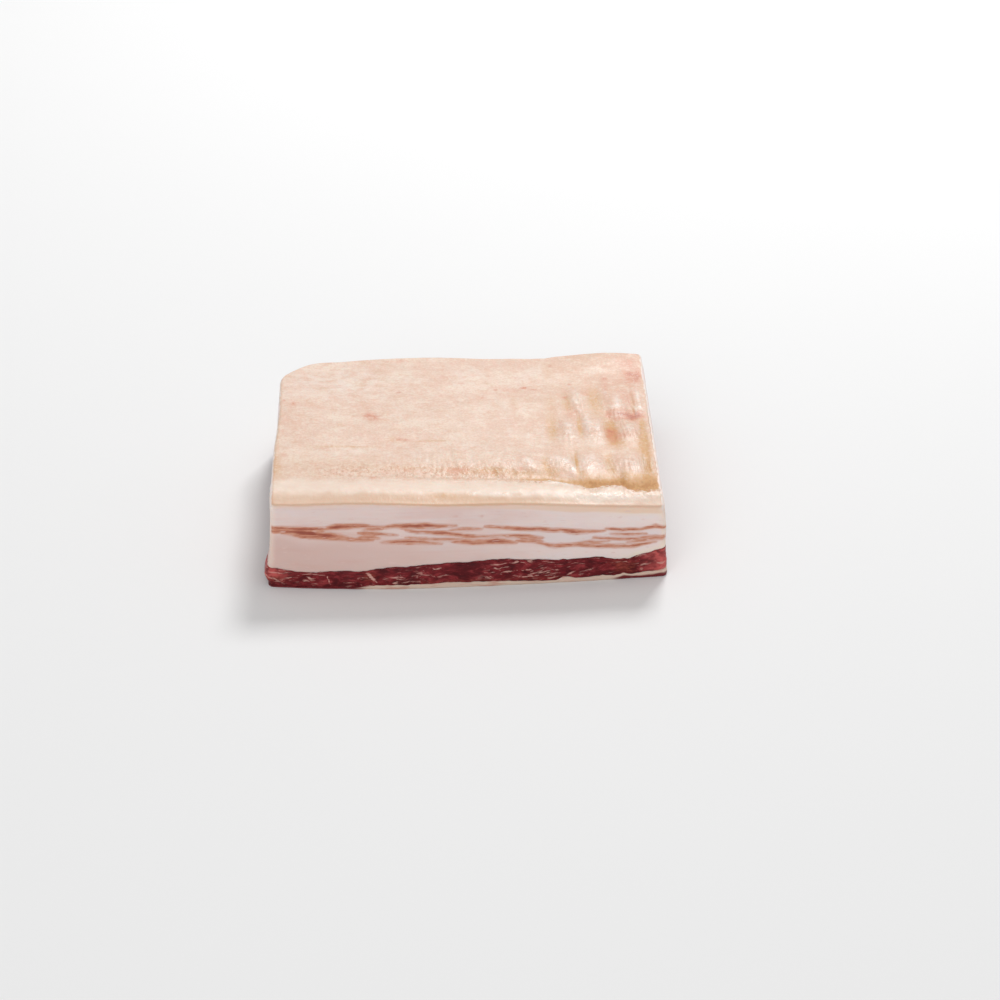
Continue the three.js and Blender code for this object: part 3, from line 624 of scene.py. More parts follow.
def coarse_skin(x, y):
    """Where the skin is crinkled: along the bank of the crease, and over the pillows.

    As in all that follows, ease and bump are given places and widths in millimetres.
    """
    behind = y - FRONT_CUT
    right = ease(10, 40, x)
    bank = bump(behind, crease_line(x) - mix(1.0, 3.5, right), mix(4.5, 2.5, right)) * ease(-60, -15, x)
    crest = 0.5 * bump(behind, 8.0, 4.5) * ease(30, 60, x)
    right_row = 0.8 * bump(y, -3, 11) * ease(24, 44, x)
    front_row = 0.4 * bump(y, -30, 9) * ease(-30, 0, x) * ease(50, 20, x)
    tops = right_row + front_row + 0.4 * bump(y, 18, 12) * ease(36, 50, x) + 0.5 * bump(y, -33, 6) * right
    return np.clip(0.15 + bank + crest + tops, 0, 1)


def inside_lines(lines, x, z, spread, soft=0.45):
    """How deep points lie inside drawn strokes: 0 at their edges, about 1 in the middle, less outside."""
    deepest = np.full_like(x, OUTSIDE)
    for line in lines:
        table = np.array(line)
        height = np.interp(x, table[:, 0], table[:, 1])
        half = spread * np.interp(x, table[:, 0], table[:, 2])
        beyond = np.maximum(table[0, 0] - x, x - table[-1, 0]).clip(0)
        deepest = np.maximum(deepest, (half - np.abs(z - height) - beyond) / soft)
    return deepest.clip(OUTSIDE, 3)


def rind_height(x, y):
    """Height of the rind at finished points of the plan, before its rolled edge and its wrinkles."""
    right = x / Block.width + 0.5
    back = y / Block.depth + 0.5
    front_row = mix(Block.front_left, Block.front_right, right)
    back_row = mix(Block.back_left, Block.back_right, right)
    crowned = Block.crown * (1 - (2 * right - 1) ** 2) * (1 - (2 * back - 1) ** 2)
    hump = Block.hump
    humped = hump["height"] * bump(x, hump["x"], hump["width"]) * bump(y, hump["y"], hump["depth"])
    smooth = mix(front_row, back_row, back) + crowned + humped + ripple("rind", x, y)
    return smooth + lip_and_crease(x, y - FRONT_CUT)


def edge_drop(x, y):
    """How far the rolled edge of the rind falls."""
    inward = np.clip(Rind.edge_radius - edge_distance(x, y), 0, Rind.edge_radius)
    return Rind.edge_radius - np.sqrt(np.maximum(Rind.edge_radius**2 - inward**2, 0))


def rim_height(x, y):
    """Height of the rind over points of the plain block, with its edge rolled over."""
    return rind_height(*shift(x, y, 1.0)) - edge_drop(x, y)


def surface_height(name, x, y):
    left, right, start, end = SURFACES[name]
    height = mix(left, right, ease(start, end, x)) + ripple(name, x, y)
    for rise, turn_start, turn_end in TURN_UPS[name]:
        height = height + rise * ease(turn_start, turn_end, x)
    if name in FRONT_LINES:
        at_front = along_line(FRONT_LINES[name], x)
        height = mix(height, at_front, ease(40, 6, y + Block.half_depth))
        height = height + lumps("front_line", x, y) + lumps("front_line_fine", x, y)
    return height


# ------------------------------------------------------------------ shaping meshes


def deselect_all():
    bpy.ops.object.select_all(action="DESELECT")


def start_edges():
    """Goes into edit mode on the new mesh, and returns its object."""
    piece = bpy.context.object
    bpy.ops.object.mode_set(mode="EDIT")
    bpy.ops.mesh.select_mode(type="EDGE")
    return piece


def select_open_edge():
    bpy.ops.mesh.select_all(action="DESELECT")
    bpy.ops.mesh.select_non_manifold(use_wire=False, use_multi_face=False, use_non_contiguous=False)


def close_ring(scales):
    """Closes the selected ring of edges with smaller and smaller rings and a point in the middle."""
    for scale in scales:
        bpy.ops.mesh.extrude_region_move()
        bpy.ops.transform.resize(value=(scale, scale, 1))
    bpy.ops.mesh.extrude_region_move()
    bpy.ops.mesh.merge(type="CENTER")


def extrude_wall(rows, rise):
    for _ in range(rows):
        bpy.ops.mesh.extrude_region_move(TRANSFORM_OT_translate={"value": (0, 0, rise)})


def grid_block(columns, rows, wall_rows):
    """A grid over the plan, with a wall hanging one unit down for each row, and a closed base."""
    deselect_all()
    bpy.ops.mesh.primitive_grid_add(x_subdivisions=columns, y_subdivisions=rows, size=2)
    piece = start_edges()
    select_open_edge()
    extrude_wall(wall_rows, -1)
    close_ring(BASE_RINGS)
    bpy.ops.object.mode_set(mode="OBJECT")
    return piece


def ring_block(around, wall_rows):
    """A round wall, one unit up for each row, with its top and its base closed."""
    deselect_all()
    bpy.ops.mesh.primitive_circle_add(vertices=around, radius=1, fill_type="NOTHING")
    piece = start_edges()
    bpy.ops.mesh.select_all(action="SELECT")
    extrude_wall(wall_rows, 1)
    close_ring(TOP_RINGS)
    select_open_edge()
    close_ring(BASE_RINGS)
    bpy.ops.object.mode_set(mode="OBJECT")
    return piece


def mesh_points(piece):
    flat = np.empty(len(piece.data.vertices) * 3)
    piece.data.vertices.foreach_get("co", flat)
    return flat.reshape(-1, 3)


def finish_shape(piece, name, x, y, z):
    """Puts a piece's points at places given in the plain block's millimetres, and smooths its faces."""
    moved = (np.stack([x, y, z], axis=1) + np.array([*Block.to_origin, 0.0])) * MM
    piece.data.vertices.foreach_set("co", moved.astype(np.float32).ravel())
    piece.data.update()
    piece.name = piece.data.name = name
    deselect_all()
    piece.select_set(True)
    bpy.context.view_layer.objects.active = piece
    bpy.ops.object.mode_set(mode="EDIT")
    bpy.ops.mesh.select_all(action="SELECT")
    bpy.ops.mesh.normals_make_consistent(inside=False)
    bpy.ops.object.mode_set(mode="OBJECT")
    bpy.ops.object.shade_smooth()


def store(piece, where=True, **kept):
    """Keeps numbers for each point, 0 outside where, for the finish to read."""
    for name, values in kept.items():
        layer = piece.data.attributes.new(name, "FLOAT", "POINT")
        layer.data.foreach_set("value", np.asarray(values * where, dtype=np.float32))


def crowd(share, bias):
    """Spaces grid lines from -1 to 1 closer together at both ends, most at the end that bias leans to."""
    return share + CROWDING * np.sin(math.pi * share) / math.pi + bias * (1 - share**2)


def around_block(places):
    """Lays round rings on the plain block's outline, from its front left corner, with their sizes."""
    width, depth = Block.width, Block.depth
    scale = np.hypot(places[:, 0], places[:, 1])
    run = np.arctan2(places[:, 1], places[:, 0]) / (2 * math.pi) % 1.0 * 2 * (width + depth)
    sides = [run < width, run < width + depth, run < 2 * width + depth]
    x = np.select(sides, [run - width / 2, width / 2, 1.5 * width + depth - run], -width / 2)
    y = np.select(sides, [-depth / 2, run - width - depth / 2, depth / 2], 2 * width + 1.5 * depth - run)
    return *round_corners(x, y), scale


def front_place(x, y, z, finished_x, lower, upper):
    """The point of the front face that a point of the cut faces repeats, mirrored at each corner."""
    right = np.clip(x / Block.width + 0.5, 0, 1)
    back = np.clip(y / Block.depth + 0.5, 0, 1)
    from_front, from_back = y + Block.half_depth, Block.half_depth - y
    side = np.argmin([from_front, Block.half_width - x, from_back, x + Block.half_width], axis=0)
    along = np.select([side == 0, side == 1, side == 2], [right, 1 - back, 1 - right], back) * Block.width
    along = np.where(side == 0, finished_x, along - Block.half_width)
    low, high = surface_height(lower, x, y), surface_height(upper, x, y)
    front = np.full_like(y, -Block.half_depth)
    front_low, front_high = surface_height(lower, along, front), surface_height(upper, along, front)
    level = front_low + (z - low) / (high - low) * (front_high - front_low)
    away = ease(0, 30, from_front)
    along = along + DRIFT_ALONG * away * lumps("layers_along", x, y)
    return along, level + DRIFT_LEVEL * away * lumps("layers_level", x, y)


class Layer:
    """A layer between two surfaces, with its wall roughened and drawn in along both edges."""

    def __init__(self, name, around, wall_rows, lower, upper, draw_in, draw_power, relief):
        self.piece = ring_block(around, wall_rows)
        plain = mesh_points(self.piece)
        outline_x, outline_y, scale = around_block(plain)
        self.on_wall = scale > ON_WALL
        self.up = plain[:, 2] / wall_rows
        self.x, self.y = outline_x * scale, outline_y * scale
        low = surface_height(lower, self.x, self.y) + GAP / 2 if lower else 0.0
        high = surface_height(upper, self.x, self.y) - GAP / 2
        self.z = mix(low, high, self.up)
        self.shifted_x, y = shift(self.x, self.y, self.z / rim_height(self.x, self.y))
        push = -draw_in * (1 - np.sin(math.pi * np.clip(self.up, 0, 1)) ** draw_power)
        for lump in relief:
            push = push + lumps(lump, self.shifted_x, y, self.z)
        push_x, push_y = (outward(outline_x, outline_y) * (push * self.on_wall)[:, None]).T
        self.places = self.shifted_x + push_x, y + push_y, self.z
        finish_shape(self.piece, name, *self.places)


# ------------------------------------------------------------------ materials


class Tint:
    """Fixed colours that go over or into the ones that a user sets."""

    peach = (0.69, 0.40, 0.255)
    deep_amber = (0.40, 0.15, 0.045)
    brown_speck = (0.50, 0.22, 0.12)
    # pale skin, and painted highlight where it lies over the pillow tops and among the specks
    pale_skin = (0.92, 0.83, 0.76)
    dark_blush = (0.46, 0.12, 0.09)
    warm_fat = (0.62, 0.26, 0.20)
    cool_fat = (0.76, 0.71, 0.74)
    # the inner fat's warmer tone, laid on darker towards the bottom as painted shade
    inner_fat = (0.55, 0.262, 0.195)
    light_fat = (0.90, 0.77, 0.735)
    under_skin = (0.84, 0.61, 0.46)
    pink_haze = (0.66, 0.355, 0.285)
    streak_halo = (0.67, 0.375, 0.30)
    streak_fringe = (0.62, 0.265, 0.155)
    streak_core = (0.25, 0.048, 0.032)
    # pale cut fat under the rind's edge, lightened as painted highlight of the lit edge
    cut_rim_and_highlight = (0.90, 0.79, 0.74)
    dark_lean = (0.035, 0.003, 0.005)
    bright_lean = (0.52, 0.080, 0.085)
    lean_end = (0.64, 0.125, 0.115)
    rusty_lean = (0.38, 0.088, 0.046)
    underside_fat = (0.70, 0.53, 0.43)
    underside_red = (0.55, 0.26, 0.20)
    floor_mottle = (0.8, 0.8, 0.8)


class Finish:
    """One material in the making: adds nodes and joins them."""

    def __init__(self, name):
        self.material = bpy.data.materials.new(name)
        self.material.use_nodes = True
        self.tree = self.material.node_tree
        self.tree.nodes.clear()
        coordinates = self.add("ShaderNodeTexCoord").outputs["Object"]
        self.place = self.vector("SCALE", {"Vector": coordinates, "Scale": 1 / MM})

    def add(self, kind, **settings):
        node = self.tree.nodes.new(kind)
        for key, value in settings.items():
            setattr(node, key, value)
        return node

    def put(self, socket, value):
        if isinstance(value, bpy.types.NodeSocket):
            self.tree.links.new(value, socket)
        elif socket.type == "RGBA" and len(value) == 3:
            socket.default_value = (*value, 1.0)
        else:
            socket.default_value = value

    def fill(self, node, inputs):
        """Puts values or links into a node's inputs, which are given by name or number."""
        for key, value in inputs.items():
            self.put(node.inputs[key], value)
        return node

    def maths(self, operation, *values, clamp=False):
        node = self.add("ShaderNodeMath", operation=operation, use_clamp=clamp)
        return self.fill(node, dict(enumerate(values))).outputs[0]

    def times(self, first, second):
        return self.maths("MULTIPLY", first, second)

    def plus(self, first, second):
        return self.maths("ADD", first, second)

    def scaled(self, value, factor, added):
        return self.maths("MULTIPLY_ADD", value, factor, added)

    def around_one(self, value, spread, middle=1.0):
        """Noise spread about a middle value, for breaking an amount up."""
        return self.scaled(self.maths("SUBTRACT", value, 0.5), spread, middle)

    def vector(self, operation, inputs):
        node = self.add("ShaderNodeVectorMath", operation=operation)
        return self.fill(node, inputs).outputs["Vector"]

    def kept(self, name):
        """A number that the mesh keeps at its points."""
        return self.add("ShaderNodeAttribute", attribute_name=name).outputs["Fac"]

    def noise(self, lump, detail=2.0, roughness=0.5, place=None):
        """Noise from 0 to 1 whose lumps have the given sizes in millimetres."""
        stretched = self.vector("DIVIDE", {0: place or self.place, 1: lump})
        inputs = {"Vector": stretched, "Scale": 1.0, "Detail": detail, "Roughness": roughness}
        return self.fill(self.add("ShaderNodeTexNoise"), inputs).outputs["Fac"]

    def ramp(self, value, start, end, low=0.0, high=1.0):
        """A smooth step: low up to start, high from end on."""
        node = self.add("ShaderNodeMapRange", interpolation_type="SMOOTHSTEP")
        inputs = {"Value": value, "From Min": start, "From Max": end, "To Min": low, "To Max": high}
        return self.fill(node, inputs).outputs[0]

    def blend(self, share, first, second):
        node = self.add("ShaderNodeMix", data_type="RGBA")
        return self.fill(node, {0: share, 6: first, 7: second}).outputs[2]

    def mixed(self, share, first, second):
        node = self.add("ShaderNodeMix", data_type="FLOAT")
        return self.fill(node, {0: share, 2: first, 3: second}).outputs[0]

    def relief(self, height, distance):
        node = self.add("ShaderNodeBump")
        return self.fill(node, {"Distance": distance * MM, "Height": height}).outputs[0]

    def coats(self, colour, *coats):
        """Lays coats over a colour: each one's colour, where it lies from 0 to 1, and its strength."""
        for over, amount, strength in coats:
            share = self.maths("MULTIPLY", amount, strength, clamp=True)
            colour = self.blend(share, colour, over)
        return colour

    def surface(self, colour, roughness, normal, glow, radius, gloss, wet=0.0):
        """Ends the material: moist flesh that lets light in by glow, as deep as radius in millimetres."""
        inputs = {
            "Base Color": colour,
            "Roughness": roughness,
            "Normal": normal,
            "Subsurface Weight": glow,
            "Subsurface Radius": radius,
            "Subsurface Scale": MM,
            "Specular IOR Level": gloss,
            "Coat Weight": wet,
            "Coat Roughness": COAT_ROUGHNESS,
            "Coat Normal": normal,
        }
        shader = self.fill(self.add("ShaderNodeBsdfPrincipled"), inputs)
        self.fill(self.add("ShaderNodeOutputMaterial"), {"Surface": shader.outputs[0]})
        return self.material


def rind_colour(finish, looks, mottle):
    """Cream and peach skin with small scratches, red marks, amber creases and a pale lip; pale patches over
    the pillow tops and the lip crest, and pale flecks among the brown specks, are partly painted highlight.
    """
    kept, ramp, times = finish.kept, finish.ramp, finish.times
    clouds = finish.noise((21.0, 14.0, 14.0), detail=3, roughness=0.55)
    linen = finish.noise((3.4, 1.3, 2.0), detail=4, roughness=0.7)
    scratches = finish.noise((3.0, 0.9, 2.0), detail=2, roughness=0.5)
    flecks = finish.noise((1.3, 2.2, 1.4), detail=3, roughness=0.6)
    speckle = finish.noise((1.0, 0.8, 1.0), detail=2, roughness=0.6)
    peach = finish.blend(0.60, looks.skin, Tint.peach)
    pink = finish.blend(0.24, looks.skin, looks.blush)
    tan = finish.blend(0.42, looks.skin, looks.amber)
    brown = finish.blend(0.6, tan, Tint.brown_speck)
    deep = finish.blend(0.70, looks.amber, Tint.deep_amber)
    patchy = finish.around_one(flecks, 1.8, finish.around_one(mottle, 1.2))
    amber = times(kept("amber"), patchy)
    blush = times(kept("blush"), finish.around_one(mottle, 2.4))
    nicks = times(ramp(scratches, 0.60, 0.70), ramp(clouds, 0.36, 0.56))
    specks = kept("specks")
    plain = finish.maths("SUBTRACT", 1.0, kept("smooth"))
    return finish.coats(
        looks.skin,
        (peach, kept("warm"), 0.9),
        (looks.cream, ramp(clouds, 0.52, 0.32), 0.55),
        (pink, ramp(clouds, 0.50, 0.70), 0.60),
        (peach, ramp(mottle, 0.50, 0.72), 0.66),
        (looks.cream, ramp(mottle, 0.50, 0.30), 0.54),
        (peach, ramp(linen, 0.50, 0.72), 0.38),
        (looks.cream, ramp(linen, 0.48, 0.30), 0.28),
        # the lip's cream: its own paler colour, lightened further as painted highlight of the crest
        (looks.cream, kept("lip"), 0.62),
        (tan, kept("tan"), 1.0),
        (tan, ramp(amber, 0.0, 0.45), 0.8),
        (looks.amber, ramp(amber, 0.15, 0.85), 0.90),
        (deep, ramp(amber, 0.85, 1.35), 0.55),
        (pink, times(nicks, plain), 0.9),
        (brown, times(ramp(flecks, 0.50, 0.61), specks), 1.0),
        # pale flecks among the brown specks, partly painted glints
        (Tint.pale_skin, times(ramp(flecks, 0.48, 0.38), specks), 0.38),
        (looks.blush, ramp(blush, 0.0, 0.85), 0.80),
        (Tint.dark_blush, ramp(blush, 0.60, 1.1), 0.55),
        (peach, times(ramp(speckle, 0.50, 0.66), plain), 0.45),
        (looks.cream, times(ramp(speckle, 0.50, 0.36), plain), 0.35),
        # painted highlight: pale patches over the pillow tops and the lip crest, partly paler skin
        (Tint.pale_skin, times(kept("pale"), ramp(mottle, 0.68, 0.40)), 0.80),
    )


def fat_colour(finish, looks, clouds, strata):
    """Pale fat with soft clouds and faint level lines, darkened low down as painted shade, and lean streaks
    with feathered, stringy sides.
    """
    kept, ramp, times = finish.kept, finish.ramp, finish.times
    strings = finish.noise((14.0, 14.0, 0.40), detail=4, roughness=0.65)
    knots = finish.noise((3.2, 3.2, 0.9), detail=2)
    threads = finish.noise((8.0, 8.0, 0.22), detail=2, roughness=0.6)
    nicks = finish.noise((4.5, 4.5, 1.2), detail=1)
    warm = finish.blend(0.20, looks.fat, Tint.warm_fat)
    cool = finish.blend(0.45, looks.fat, Tint.cool_fat)
    inner = finish.blend(0.38, looks.fat, Tint.inner_fat)
    deep = finish.blend(0.6, looks.streak, Tint.streak_core)
    streaks = kept("streaks")
    haze = kept("haze")
    torn = streaks
    for fray, depth in ((strings, 2.4), (knots, 1.8), (threads, 1.3)):
        torn = finish.plus(torn, finish.scaled(fray, 2 * depth, -depth))
    torn = finish.plus(torn, times(haze, 0.6))
    stringy = ramp(strings, 0.30, 0.62, 0.45, 1.0)
    return finish.coats(
        looks.fat,
        (warm, ramp(clouds, 0.46, 0.68), 0.7),
        (cool, ramp(clouds, 0.46, 0.30), 0.8),
        (warm, ramp(strata, 0.52, 0.70), 0.55),
        (cool, ramp(strata, 0.46, 0.32), 0.45),
        # the inner fat's warmer tone, which also paints shade: darker towards the bottom
        (inner, kept("inner"), 1.0),
        (Tint.light_fat, kept("light"), 0.65),
        (cool, kept("cool"), 0.9),
        (looks.cream, kept("cream"), 0.8),
        (Tint.under_skin, kept("skin_edge"), 1.0),
        (Tint.pink_haze, times(haze, stringy), 0.9),
        (Tint.streak_halo, ramp(streaks, -2.4, 0.2), 0.65),
        (Tint.streak_fringe, ramp(torn, -1.0, 0.8), 0.85),
        (looks.streak, ramp(torn, 0.6, 1.9), 0.85),
        (deep, ramp(torn, 1.9, 3.0), 0.90),
        (warm, ramp(nicks, 0.66, 0.76), 0.6),
    )


def rind_and_fat_finish(looks):
    finish = Finish("rind_and_fat")
    kept, ramp, times, mixed = finish.kept, finish.ramp, finish.times, finish.mixed
    mottle = finish.noise((5.0, 4.0, 4.0), detail=4, roughness=0.6)
    clouds = finish.noise((24.0, 24.0, 8.0), detail=3)
    strata = finish.noise((30.0, 30.0, 1.0), detail=4, roughness=0.6)
    skin = rind_colour(finish, looks, mottle)
    fat = fat_colour(finish, looks, clouds, strata)
    depth = finish.plus(kept("cut_depth"), finish.scaled(mottle, 0.8, -0.4))
    is_fat = ramp(depth, 0.0, 0.35)
    skin_line = times(ramp(depth, -0.5, 0.1), ramp(depth, 0.8, 0.2))
    colour = finish.coats(
        finish.blend(is_fat, skin, fat),
        # pale cut fat at the top of the side walls, partly painted highlight of the rolled edge
        (Tint.cut_rim_and_highlight, times(is_fat, kept("rim")), 0.9),
        (finish.blend(0.45, looks.skin, looks.amber), skin_line, 0.35),
    )
    grain = finish.noise((1.2, 1.6, 1.0), detail=3, roughness=0.6)
    crinkle = finish.noise((2.0, 3.2, 2.0), detail=3, roughness=0.55)
    skin_rough = mixed(ramp(kept("amber"), 0.5, 1.2), ramp(crinkle, 0.35, 0.65, 0.42, 0.55), 0.68)
    rough = mixed(is_fat, skin_rough, ramp(clouds, 0.3, 0.7, 0.40, 0.50))
    skin_relief = times(finish.scaled(crinkle, 1.6, grain), finish.scaled(kept("coarse"), 2.4, 0.5))
    normal = finish.relief(mixed(is_fat, skin_relief, times(finish.plus(strata, grain), 0.6)), 0.09)
    wet = times(kept("wet"), ramp(crinkle, 0.36, 0.56))
    return finish.surface(colour, rough, normal, glow=0.30, radius=(2.2, 1.1, 0.8), gloss=0.4, wet=wet)


def lean_finish(looks):
    finish = Finish("lean")
    kept, ramp, times = finish.kept, finish.ramp, finish.times
    warp = finish.vector("SCALE", {"Vector": WARP, "Scale": finish.noise((9.0, 9.0, 6.0), detail=2)})
    tilted = finish.vector("ADD", {0: finish.place, 1: warp})
    bundles = finish.noise((4.6, 4.6, 2.2), detail=3, roughness=0.6, place=tilted)
    fibres = finish.noise((2.4, 2.4, 0.6), detail=3, roughness=0.6, place=tilted)
    threads = finish.noise((5.0, 5.0, 0.9), detail=4, roughness=0.6, place=tilted)
    clouds = finish.noise((13.0, 13.0, 7.0), detail=2)
    dark = finish.blend(0.7, looks.lean, Tint.dark_lean)
    bright = finish.blend(0.42, looks.lean, Tint.bright_lean)
    strokes = finish.plus(kept("strokes"), finish.scaled(fibres, 3.4, -1.8))
    flesh = finish.coats(
        looks.lean,
        (dark, ramp(clouds, 0.55, 0.35), 0.6),
        (dark, ramp(bundles, 0.52, 0.34), 0.95),
        (bright, ramp(bundles, 0.52, 0.72), 1.0),
        (bright, ramp(fibres, 0.54, 0.70), 0.55),
        (dark, ramp(fibres, 0.46, 0.32), 0.65),
        (Tint.lean_end, times(kept("ends"), ramp(bundles, 0.34, 0.60, 0.30, 1.0)), 0.85),
        (Tint.rusty_lean, times(kept("brown"), ramp(fibres, 0.36, 0.60)), 0.75),
        (looks.marbling, times(ramp(threads, 0.565, 0.635), ramp(clouds, 0.42, 0.58)), 0.78),
        (looks.marbling, ramp(strokes, -0.6, 1.2), 0.9),
        # painted shade: the lean darkened along its top, under the fat that overhangs it
        (dark, times(kept("edge"), ramp(bundles, 0.30, 0.55)), 0.4),
    )
    normal = finish.relief(finish.plus(bundles, times(fibres, 0.4)), 0.40)
    rough = ramp(bundles, 0.3, 0.7, 0.34, 0.46)
    return finish.surface(flesh, rough, normal, glow=0.10, radius=(1.2, 0.4, 0.3), gloss=0.14)


def underside_finish(looks):
    finish = Finish("underside")
    clouds = finish.noise((9.0, 9.0, 1.6), detail=3)
    red = (Tint.underside_red, finish.ramp(clouds, 0.48, 0.66), 0.7)
    colour = finish.blend(finish.kept("fatty"), looks.lean, finish.coats(Tint.underside_fat, red))
    normal = finish.relief(clouds, 0.3)
    return finish.surface(colour, 0.4, normal, glow=0.20, radius=(1.8, 0.8, 0.6), gloss=0.3)


def floor_finish(colour):
    finish = Finish("studio_floor")
    mottle = finish.noise((60.0, 60.0, 60.0), detail=2)
    tint = finish.blend(finish.ramp(mottle, 0.3, 0.7, 0, 0.03), colour, Tint.floor_mottle)
    normal = finish.relief(mottle, 0.01)
    return finish.surface(tint, 0.8, normal, glow=0.0, radius=(1, 1, 1), gloss=0.2)


# ------------------------------------------------------------------ operators


def put_on(piece, material, slot, *nodes):
    piece.data.materials.clear()
    piece.data.materials.append(material)
    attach(piece, "root")
    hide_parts(*nodes)


class SLAB_OT_rind_and_fat(bpy.types.Operator):
    """Model the rind and all the fat under it, down to the lean"""

    bl_idname = "slab.rind_and_fat"
    bl_label = "Rind and fat"

    columns = 216
    rows = 180
    wall_rows = 66
    crowd_right = 0.12
    crowd_front = -0.10
    pillow_share = 0.7
    plain_margin = 5  # how far in from its edge the rind's relief comes in fully

    def execute(self, context):
        looks = context.scene.slab_looks
        piece = grid_block(self.columns, self.rows, self.wall_rows)
        grid_x, grid_y, grid_z = mesh_points(piece).T
        down = -grid_z / self.wall_rows
        x, y = round_corners(
            crowd(grid_x, self.crowd_right) * Block.half_width,
            crowd(grid_y, self.crowd_front) * Block.half_depth,
        )
        rim = rim_height(x, y)
        z = mix(rim, surface_height("lean_top", x, y) + GAP / 2, down)
        is_top = down == 0
        px, py = shift(x, y, np.where(is_top, 1.0, z / rim))
        inside = ease(0, self.plain_margin, edge_distance(x, y)) * is_top
        pillows = pillow_height(px, py)
        wrinkles = wrinkle_depth(px, py)
        folds = self.pillow_share * pillows - wrinkles + pleat_height(px, py)
        z = z + looks.wrinkle_depth * inside * folds
        z = z + inside * self.fine_relief(px, py)
        cut_x, cut_y = self.cut_relief(px, py, z, x, y, down)
        finish_shape(piece, "rind_and_fat", px + cut_x, py + cut_y, z)
        self.store_wall(piece, x, y, z, px, rim, is_top)
        self.store_rind(piece, px, py, wrinkles, pillows, is_top)
        put_on(piece, rind_and_fat_finish(looks), "rind_and_fat", "fat_cap", "streaky_lean", "inner_fat")
        return {"FINISHED"}

    def fine_relief(self, x, y):
        """Scallops over the lip, a ragged bank behind it, faint level lines and crinkled skin."""
        behind = y - FRONT_CUT
        right = ease(-10, 40, x)
        crease = crease_line(x)
        lip = ease(1.0, 4.0, behind) * ease(crease, crease - 4, behind)
        scallops = (0.06 + 0.20 * right) * lumps("scallops", x, y) * lip
        bank = bump(behind, crease - 3.2, 2.6)
        ragged = (lumps("bank", x, y) + lumps("bank_fine", x, y)) * bank * (0.10 + 0.90 * right)
        level_lines = lumps("level_lines", x, y) * ease(50, 10, x)
        crinkles = lumps("crinkles", x, y) * (0.04 + 0.10 * coarse_skin(x, y))
        return scallops + ragged + level_lines + crinkles

    def cut_relief(self, px, py, z, x, y, down):
        """How far the cut faces go in and out, as a knife leaves them."""
        on_wall = (down > 0) & (edge_distance(x, y) < EDGE_TOLERANCE)
        sway = lumps("knife", px, py, z) + lumps("knife_fine", px, py, z)
        foot = -0.08 * ease(0.98, 1.0, down)
        torn = ease(0.14, 0.02, down) * bump(y, -58, 16) * ease(-70, -80, x)
        torn = torn * (0.35 + lumps("torn_end", px, py, z))
        return (outward(x, y) * ((sway + foot + torn) * on_wall)[:, None]).T

    def store_wall(self, piece, x, y, z, finished_x, rim, is_top):
        """Keeps what the finish of the cut faces reads: streaks, warm and pale fat, painted shade low on
        the fat, pale fat at the top of the side walls that is partly painted highlight, and the skin's
        edge.
        """
        low, high = surface_height("streak_bottom", x, y), surface_height("streak_top", x, y)
        along, level = front_place(x, y, z, finished_x, "streak_bottom", "streak_top")
        from_front = y + Block.half_depth
        from_right, from_left = Block.half_width - x, Block.half_width + x
        under_rim = rim - z
        away = ease(4, 30, from_front)
        band = (z - low) / (high - low)
        fringe = ease(60, 70, along) * ease(3.0, 0.4, z - surface_height("lean_top", x, y))
        ends = 0.8 * ease(4.0, 0.5, from_right) + 0.5 * ease(3.0, 0.5, from_left)
        ends = ends * ease(14, 2, from_front)
        under_rind = ease(46, 66, along) * ease(4.5, 1.0, under_rim)
        store(
            piece,
            ~is_top,
            haze=patches(HAZES, along, level) * mix(0.9, 0.5, away),
            # the inner fat's warmer tone, darker towards the bottom as painted shade, and stronger towards
            # the left
            inner=ease(0.5, -0.9, band) * mix(0.1, 1.0, ease(60, -70, along)),
            light=ease(0, 60, along),
            cool=bump(band, 0.5, 0.45) * ease(12, 34, along),
            cream=np.clip(fringe + ends + under_rind, 0, 1),
        )
        spread = mix(1.4, 1.0, away) + 0.45 * ease(-44, -62, along)
        streaks = inside_lines(STREAKS, along, level, spread)
        to_right = ease(-10, 50, along)
        thick = mix(0.9, 2.1, to_right) + lumps("skin_thickness", along, y, z)
        ragged = lumps("side_border", x, y)
        at_right = Rind.side_border_right + ragged - from_right
        at_left = Rind.side_border_left + ragged - from_left
        inner = edge_drop(x, y) - Rind.cut_edge - 3.0 * ease(0.0, 4.0, edge_distance(x, y))
        top = np.maximum(inner, np.clip(np.maximum(at_right, at_left), -3, 3))
        store(
            piece,
            streaks=np.where(is_top, OUTSIDE, streaks),
            skin_edge=mix(0.35, 0.85, to_right) * ease(thick + 0.5, thick - 0.6, under_rim),
            cut_depth=np.where(is_top, top, Rind.edge_radius - Rind.cut_edge + rim - z),
            # pale cut fat at the top of the side walls, partly painted highlight of the rolled edge
            rim=ease(2.5, 0.5, Block.half_width - np.abs(x)) * ease(3.0, 0.0, under_rim),
        )

